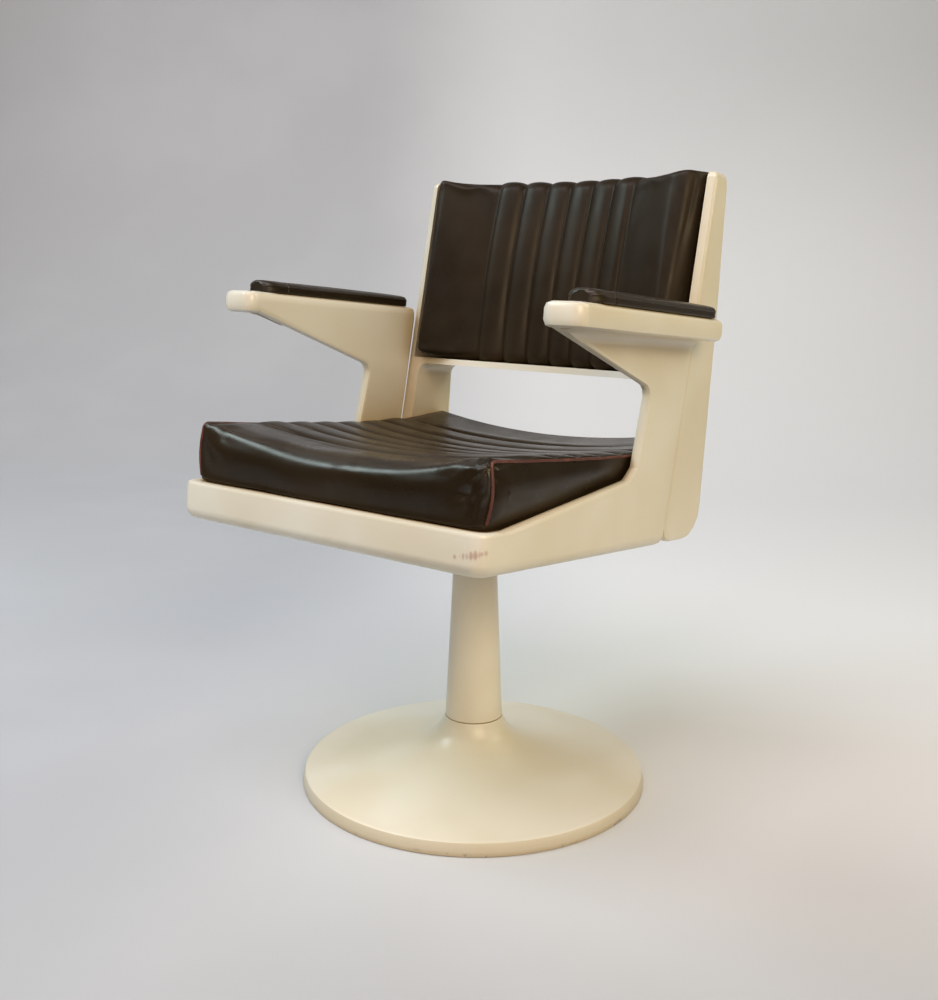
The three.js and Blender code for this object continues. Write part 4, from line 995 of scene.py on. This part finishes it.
def make_seat_cushion(material):
    half = SEAT_HALF
    middle = evenly(-half + SEAT_SIDE_ROLL + GRID, half - SEAT_SIDE_ROLL - GRID, GRID)
    stations = end_stations(half, SEAT_SIDE_ROLL, middle)
    made = [seat_section(x / half, end_inset(half - abs(x), SEAT_SIDE_ROLL)) for x in stations]
    rings, labels = [ring for ring, _ in made], made[0][1]
    height = lerp(SEAT_BOTTOM, SEAT_EDGE_LOW, 0.5)
    spines = []
    for ring in (rings[0], rings[-1]):
        x = ring[0][0]
        rear = (x * SEAT_SPINE_SHARE, SEAT_REAR - SEAT_SPINE_INSET, height)
        spines.append(((x, SEAT_FRONT + SEAT_SPINE_INSET, height), rear))
    piece, caps, count = closed_body("seat_cushion_form", rings, spines, SEAT_BULGE)
    held = []
    seam_pairs = []
    for level in range(len(rings)):
        edge_line = level in (1, len(rings) - 2)
        for index, label in enumerate(labels):
            vertex = (caps + level) * count + index
            if label in ("bottom", "seam") or edge_line:
                held.append(vertex)
            if label == "seam" and 3 <= level < len(rings) - 4:
                seam_pairs.append((vertex, vertex + count))
    puff(piece, held, SEAT_PUFF, caps * count)
    points = get_points(piece)
    points[:, 0] = np.clip(points[:, 0], -SEAT_LIMIT, SEAT_LIMIT)
    points[:, 2] = np.maximum(points[:, 2], SEAT_BOTTOM)
    set_points(piece, [swollen(*point) for point in points])
    crease_edges(piece, seam_pairs, SEAM_CREASE)
    subdivide(piece)
    roughen(piece, seat_pucker)
    finish_cushion(piece, material, "seat_cushion")


def roughen(piece, pucker):
    """Moves each point along its normal by what the pucker function gives."""
    points = get_points(piece)
    normals = np.array([v.normal for v in piece.data.vertices])
    amounts = np.array([pucker(Vector(p), n) for p, n in zip(points, normals)])
    set_points(piece, points + normals * amounts[:, None])


def tuck(x, z, start, end, width, depth):
    """A short fold on a front face, deepest halfway along its line. A depth below 0 gives a bump."""
    line = Vector(end) - Vector(start)
    at = (Vector((x, z)) - Vector(start)).dot(line) / line.dot(line)
    at = min(max(at, 0), 1)
    apart = (Vector((x, z)) - Vector(start) - line * at).length / width
    return -depth * exp(-apart * apart) * sin(pi * lerp(*TUCK_SHARES, at)) * MM


def folds(tucks, p):
    x, z = p.x / MM, p.z / MM
    return sum(tuck(x, z, *line) for line in tucks)


def wander(place, cell, depth):
    """A smooth uneven value up to the depth either way, with waves of the cell's size."""
    return noise.noise(Vector([at / size for at, size in zip(place, cell)])) * depth


TUCK_SHARES = (0.15, 0.85)
# Folds on the front of the seat and of the back: both ends as x and z, half width and depth, in mm
SEAT_TUCKS = [
    ((222, 112), (210, 78), 4.5, 2.2),
    ((214, 118), (188, 102), 5.0, 1.8),
    ((204, 120), (170, 110), 5.5, 1.0),
    ((230, 100), (221, 64), 4.0, 1.6),
    ((212, 90), (194, 83), 6.5, -4.2),
    ((228, 100), (225, 84), 5.0, -2.6),
    ((219, 113), (216, 105), 4.0, -1.4),
    ((34, 104), (12, 80), 17.0, 1.8),
    ((-206, 120), (-188, 92), 8.0, 1.2),
]
BACK_TUCKS = [
    ((-204, 490), (-186, 466), 5.0, 1.8),
    ((-199, 492), (-168, 480), 5.0, 1.4),
    ((-205, 482), (-199, 452), 5.0, 1.0),
    ((201, 488), (184, 462), 6.0, 1.0),
    ((-203, 232), (-186, 246), 6.0, 1.2),
]
SEAT_TUCK_FADE = (240 * MM, 275 * MM)
SEAT_GATHERS = ((16 * MM, 60 * MM, 1), 0.6 * MM)
SEAT_GATHER_REACH = 14 * MM
SEAT_CORNER_PLACE = (224 * MM, -284 * MM, 118 * MM)
SEAT_FAN = ((1 / 3.2, 26 * MM, 1), 2.4 * MM)
SEAT_FAN_REACH = 62 * MM
SEAT_FAN_SQUASH = 0.5
SEAT_WAVES = ((75 * MM, 70 * MM, 60 * MM), 2.4 * MM)
SEAT_WAVE_FADE = (170 * MM, 260 * MM)
FAR_CORNER_STRENGTH = 0.6


def seat_pucker(p, normal):
    """Short gathers across the seams, tucks that fan out from the front corners, and a wavy front."""
    near = min(abs(p.y - seam) for seam in SEAT_SEAMS)
    gathers = wander((p.x, p.y, 3), *SEAT_GATHERS)
    amount = gathers * max(0, 1 - near / SEAT_GATHER_REACH) * max(normal[2], 0)
    away = Vector((abs(p.x), p.y, p.z)) - Vector(SEAT_CORNER_PLACE)
    fan = atan2(away.z, -away.x - away.y * SEAT_FAN_SQUASH)
    strength = 1.0 if p.x > 0 else FAR_CORNER_STRENGTH
    tucks = wander((fan, away.length, 4 * strength), *SEAT_FAN) * strength
    amount += max(0, 1 - away.length / SEAT_FAN_REACH) * tucks
    amount += folds(SEAT_TUCKS, p) * smooth(-p.y, *SEAT_TUCK_FADE)
    return amount + wander(p, *SEAT_WAVES) * smooth(-p.y, *SEAT_WAVE_FADE)


def tube_along(name, path, radius):
    """A round tube along points, with closed ends."""
    path = [Vector(p) for p in path]
    points = []
    side = Vector((1, 0, 0))
    for index, at in enumerate(path):
        along = (path[min(index + 1, len(path) - 1)] - path[max(index - 1, 0)]).normalized()
        across = (side - along * side.dot(along)).normalized()
        third = along.cross(across)
        for step in range(PIPING_SIDES):
            angle = 2 * pi * step / PIPING_SIDES
            points.append(at + (across * cos(angle) + third * sin(angle)) * radius)
    faces = walls(len(path), PIPING_SIDES) + end_faces(len(points), PIPING_SIDES)
    return facing_out(link_mesh(name, points, faces))


def make_piping(sign, material):
    """The welt climbs the cushion's front edge, turns sharply and runs back along the top."""
    side = "left" if sign > 0 else "right"
    section, labels = seat_section(float(sign), PIPING_INSET)
    placed = []
    for (x, y, z), label in zip(section, labels):
        if label in ("front", "top", "seam") and z > PIPING_FOOT and y < PIPING_TAIL:
            wave = wander((y, z, sign), *PIPING_WAVES)
            x, y, z = swollen(x, y, z)
            placed.append(TILTED @ Vector((x + sign * PIPING_PROUD, y + wave, z + wave)))
    piece = tube_along(f"{side}_piping_form", curve_through(placed, 2), PIPING_RADIUS)
    finish_piece(piece, "seat", material, f"{side}_piping")


# Back cushion


def frame_front(z):
    """Place of the back frame's leaning front edge."""
    return lerp(FRAME_FRONT_FOOT, FRAME_FRONT_TOP, z / FRAME_TOP)


def back_face(x, z):
    """Place of the cushion's hollow front, before its channels."""
    return frame_front(z) - BACK_PROUD + BACK_SAGITTA * (1 - (x / BACK_HALF) ** 2)


def back_rear(x, z):
    rise = (z - BACK_BOTTOM) / (FRAME_TOP - BACK_BOTTOM)
    return BACK_REAR_DEPTH + BACK_BULGE * rise * (1 - (x / BACK_REAR_HALF) ** 2)


BACK_SEAMS = [(k - BACK_RIBS / 2) * BACK_SEAM_PITCH for k in range(BACK_RIBS + 1)]


def back_crown(x):
    """How far the front stands out over its seams before it is blown up."""
    if abs(x) > BACK_SEAMS[-1]:
        return BACK_PANEL_CROWN * rib(min(0.5, (abs(x) - BACK_SEAMS[-1]) / BACK_PANEL_REACH))
    return BACK_RIB_CROWN * rib((x - BACK_SEAMS[0]) / BACK_SEAM_PITCH % 1)


def back_section(x):
    """One ring of the back cushion: front, top, rear and bottom."""
    u = x / BACK_HALF
    end = BACK_HALF - abs(x)
    rolls = BACK_CORNER_ROLLS if x > 0 else BACK_FAR_CORNER_ROLLS
    corner = abs(u) ** BACK_CORNER_POWER
    drawn = end_inset(end, BACK_END_ROLL)
    crown = back_crown(x) * (1 - abs(u) ** BACK_CROWN_POWER)
    top = BACK_TOP - drawn + BACK_PINCH * corner + BACK_SCALLOP_SHARES[1] * crown
    bottom = BACK_BOTTOM + drawn + BACK_FOOT_PINCH * corner - BACK_SCALLOP_SHARES[0] * crown
    roll = lerp(BACK_ROLL, BACK_END_ROLL, corner)
    depth = back_rear(x, BACK_TOP) - back_face(x, BACK_TOP)
    roll_share = roll / depth
    section, labels = [], []

    def add(z, back, label):
        """back is the share of the way from the front face to the rear face."""
        level = (z - bottom) / (top - bottom)
        side = end_inset(end, lerp(*rolls, smooth(level, *BACK_LEVEL_SHARES)))
        belly = lerp(BACK_BELLY, BACK_SIDE_BELLY, u * u) * (1 - (2 * level - 1) ** 2)
        front = back_face(x, z) + side - crown - belly
        rear = back_rear(x, z)
        y = lerp(front, rear, back)
        deep = (y - back_face(x, z)) / (rear - back_face(x, z))
        flare = min(1, max(0, deep * BACK_FLARE_RATE)) ** BACK_FLARE_POWER
        wide = lerp(BACK_HALF, BACK_REAR_HALF, flare)
        section.append((u * wide, y, z))
        labels.append(label)

    for a in np.linspace(0, pi / 2, BACK_ROLL_ROWS)[:-1]:
        add(bottom + roll * (1 - cos(a)), roll_share * (1 - sin(a)), "front")
    for z in np.linspace(bottom + roll, top - roll, BACK_ROWS):
        add(z, 0, "front")
    for a in np.linspace(0, pi / 2, BACK_ROLL_ROWS + 1)[1:]:
        add(top - roll * (1 - sin(a)), roll_share * (1 - cos(a)), "front")
    for t in np.linspace(roll_share, 1, BACK_TOP_ROWS)[1:]:
        add(top, t, "rear" if t > BACK_REAR_SHARE else "top")
    for z in np.linspace(top, bottom, BACK_REAR_ROWS)[1:]:
        add(z, 1, "rear")
    for t in np.linspace(1, roll_share, BACK_TOP_ROWS // 2)[1:-1]:
        add(bottom, t, "bottom")
    return np.array(section), labels


def make_back_cushion(material):
    half = BACK_HALF
    roll = BACK_CORNER_ROLLS[1]
    stops = [-half + roll + GRID, *BACK_SEAMS, half - roll - GRID]
    middle = []
    for low, high in zip(stops, stops[1:]):
        middle += evenly(low, high, GRID)[:-1]
    middle.append(stops[-1])
    stations = end_stations(half, roll, middle)
    made = [back_section(x) for x in stations]
    rings, labels = [ring for ring, _ in made], made[0][1]
    spines = []
    for ring in (rings[0], rings[-1]):
        x = ring[:, 0].mean()
        foot = (x, ring[:, 1].min() + BACK_SPINE_INSET, BACK_SPINE_FOOT)
        spines.append((foot, (x, ring[:, 1].max() - BACK_SPINE_INSET, BACK_SPINE_HEAD)))
    piece, caps, count = closed_body("back_cushion_form", rings, spines, BACK_END_BULGE)
    held = []
    seam_pairs = []
    for level, x in enumerate(stations):
        for index, label in enumerate(labels):
            vertex = (caps + level) * count + index
            sewn = x in BACK_SEAMS and label in ("front", "top")
            if sewn or label in ("rear", "bottom"):
                held.append(vertex)
            if sewn:
                seam_pairs.append((vertex, (caps + level) * count + (index + 1) % count))
    puff(piece, held, BACK_PUFF, caps * count)
    crease_edges(piece, seam_pairs, SEAM_CREASE)
    subdivide(piece)
    roughen(piece, back_pucker)
    finish_cushion(piece, material, "back_cushion")


BACK_GATHERS = ((50 * MM, 1, 17 * MM), 0.5 * MM)
BACK_GATHER_REACH = 12 * MM
BACK_CREASES = ((60 * MM, 1, 14 * MM), 2.2 * MM)
BACK_CREASE_REACH = 60 * MM
BACK_WAVES = ((70 * MM, 70 * MM, 90 * MM), 1 * MM)


def back_pucker(p, normal):
    """Short gathers beside the seams, soft creases at the upper corners, and slow unevenness."""
    near = min(abs(p.x - seam) for seam in BACK_SEAMS)
    forward = max(-normal[1], 0)
    gathers = wander((p.x, 5, p.z), *BACK_GATHERS)
    amount = gathers * max(0, 1 - near / BACK_GATHER_REACH) * forward
    corner = Vector((abs(p.x), p.z)) - Vector((BACK_HALF, BACK_TOP))
    creases = wander((abs(p.x) + p.z, 2, abs(p.x) - p.z), *BACK_CREASES)
    creases = max(0, 1 - corner.length / BACK_CREASE_REACH) * creases + folds(BACK_TUCKS, p)
    return amount + (creases + wander(p, *BACK_WAVES)) * forward


# Arm pads


def pad_reach(y):
    """Half width of a pad, which is round at its corners."""
    front_loss = end_inset(y - PAD_FRONT, PAD_FRONT_CORNER)
    return PAD_WIDTH / 2 - front_loss - end_inset(PAD_REAR - y, PAD_REAR_CORNER)


def pad_section(y, inset, pinch):
    """One ring of an arm pad across its length: bottom, side, roll, top, roll, side."""
    half = pad_reach(y) - pinch
    top = PAD_BOTTOM + PAD_HEIGHT - inset - pinch
    shoulder = top - PAD_ROLL
    welt = shoulder + PAD_EDGE
    side = [(-half, PAD_BOTTOM + PAD_EDGE), (-half, lerp(PAD_BOTTOM, shoulder, PAD_SIDE_SHARE))]
    side += [(-half, welt - PAD_WELT), (-half - PAD_WELT, welt)]
    side.append((-half + PAD_WELT_TUCK, welt + PAD_WELT))
    for a in np.linspace(*PAD_ROLL_ANGLES):
        side.append((-half + PAD_ROLL * (1 - cos(a)), shoulder + PAD_ROLL * sin(a)))
    bottom = np.linspace(half - PAD_EDGE, PAD_EDGE - half, PAD_BOTTOM_POINTS)
    section = [(x, PAD_BOTTOM) for x in bottom] + side
    nose = PAD_NOSE * (1 - smooth(y, *PAD_NOSE_FADE))
    for x in np.linspace(-half + PAD_ROLL, half - PAD_ROLL, PAD_TOP_POINTS)[1:-1]:
        section.append((x, top + (PAD_CROWN + nose) * (1 - (x / half) ** 2)))
    section += [(-x, z) for x, z in reversed(side)]
    return np.array([(x, y, z) for x, z in section])


def make_pad(sign, material):
    side = "left" if sign > 0 else "right"
    ends = [PAD_FRONT + PAD_FRONT_CORNER * (1 - cos(a)) for a in np.linspace(*PAD_FRONT_ANGLES)]
    rear = [PAD_REAR - PAD_REAR_CORNER * (1 - cos(a)) for a in np.linspace(*PAD_REAR_ANGLES)]
    before = evenly(ends[-1], PAD_SEAM - PAD_SEAM_HALF, PAD_GRID)[1:]
    after = evenly(PAD_SEAM + PAD_SEAM_HALF, rear[0], PAD_GRID)[:-1]
    stations = ends + before + [PAD_SEAM] + after + rear
    rings = []
    for y in stations:
        inset = end_inset(min(y - PAD_FRONT, PAD_REAR - y), PAD_ROLL)
        rings.append(pad_section(y, inset, PAD_SEAM_DEPTH if y == PAD_SEAM else 0.0))
    spines = []
    for ring in (rings[0], rings[-1]):
        middle = ring.mean(0)
        spines.append((middle - [PAD_SPINE_HALF, 0, 0], middle + [PAD_SPINE_HALF, 0, 0]))
    piece, caps, count = closed_body(f"{side}_arm_pad_form", rings, spines)
    still = {*range(PAD_BOTTOM_POINTS), *PAD_WELT_POINTS}
    still |= {count + PAD_BOTTOM_POINTS - 1 - index for index in PAD_WELT_POINTS}
    held = []
    for level, y in enumerate(stations):
        for index in range(count):
            if index in still or y == PAD_SEAM:
                held.append((caps + level) * count + index)
    puff(piece, held, PAD_PUFF, caps * count)
    points = get_points(piece)
    points[:, 2] = np.maximum(points[:, 2], PAD_BOTTOM)
    set_points(piece, points)
    first = (caps + stations.index(PAD_SEAM)) * count
    seam = [(first + i, first + i + 1) for i in range(PAD_BOTTOM_POINTS, count - 1)]
    crease_edges(piece, seam, PAD_SEAM_CREASE)
    subdivide(piece, 2)
    points = get_points(piece)
    points[:, 0] = sign * (points[:, 0] + PAD_CENTRE)
    set_points(piece, points)
    finish_cushion(piece, material, f"{side}_arm_pad")


# Making

add_camera()
bpy.context.scene.view_settings.view_transform = "Standard"
add_world()
for lamp in LAMPS:
    add_lamp(*lamp)
add_sweep()

make_foot()
make_stem()
close_leg_gap()
dress("seat_shell", shell_material())
dress("back_frame", lacquer("frame_lacquer", 0.30)[0].material)
for node in ("seat_shell", "back_frame"):
    soften(node)

make_seat_cushion(leatherette("seat_leatherette", 1.0, (0.27, 0.34), 0.32))
make_back_cushion(leatherette("back_leatherette", 1.0, (0.39, 0.49), 0.20))
pad_leatherette = leatherette("pad_leatherette", 1.5, (0.32, 0.42), 0.45)
welt = piping_material()
for sign in (1, -1):
    make_piping(sign, welt)
    make_pad(sign, pad_leatherette)

by_slot = {
    "steel": metal("zinc_steel", (0.62, 0.62, 0.63), 0.32, 1.0),
    "iron": metal("casting", (0.10, 0.10, 0.10), 0.7, 0.6),
    "nylon": nylon_material(),
    "plywood": board_material("plywood", (0.50, 0.34, 0.18), (0.36, 0.22, 0.10), (1, 8, 8)),
    "fibreboard": board_material("fibreboard", (0.13, 0.085, 0.05), (0.09, 0.06, 0.035), (6, 6, 6)),
}
for part in frame["record"]["subparts"]:
    if part["material_slot"] in by_slot:
        dress(part["node"], by_slot[part["material_slot"]])
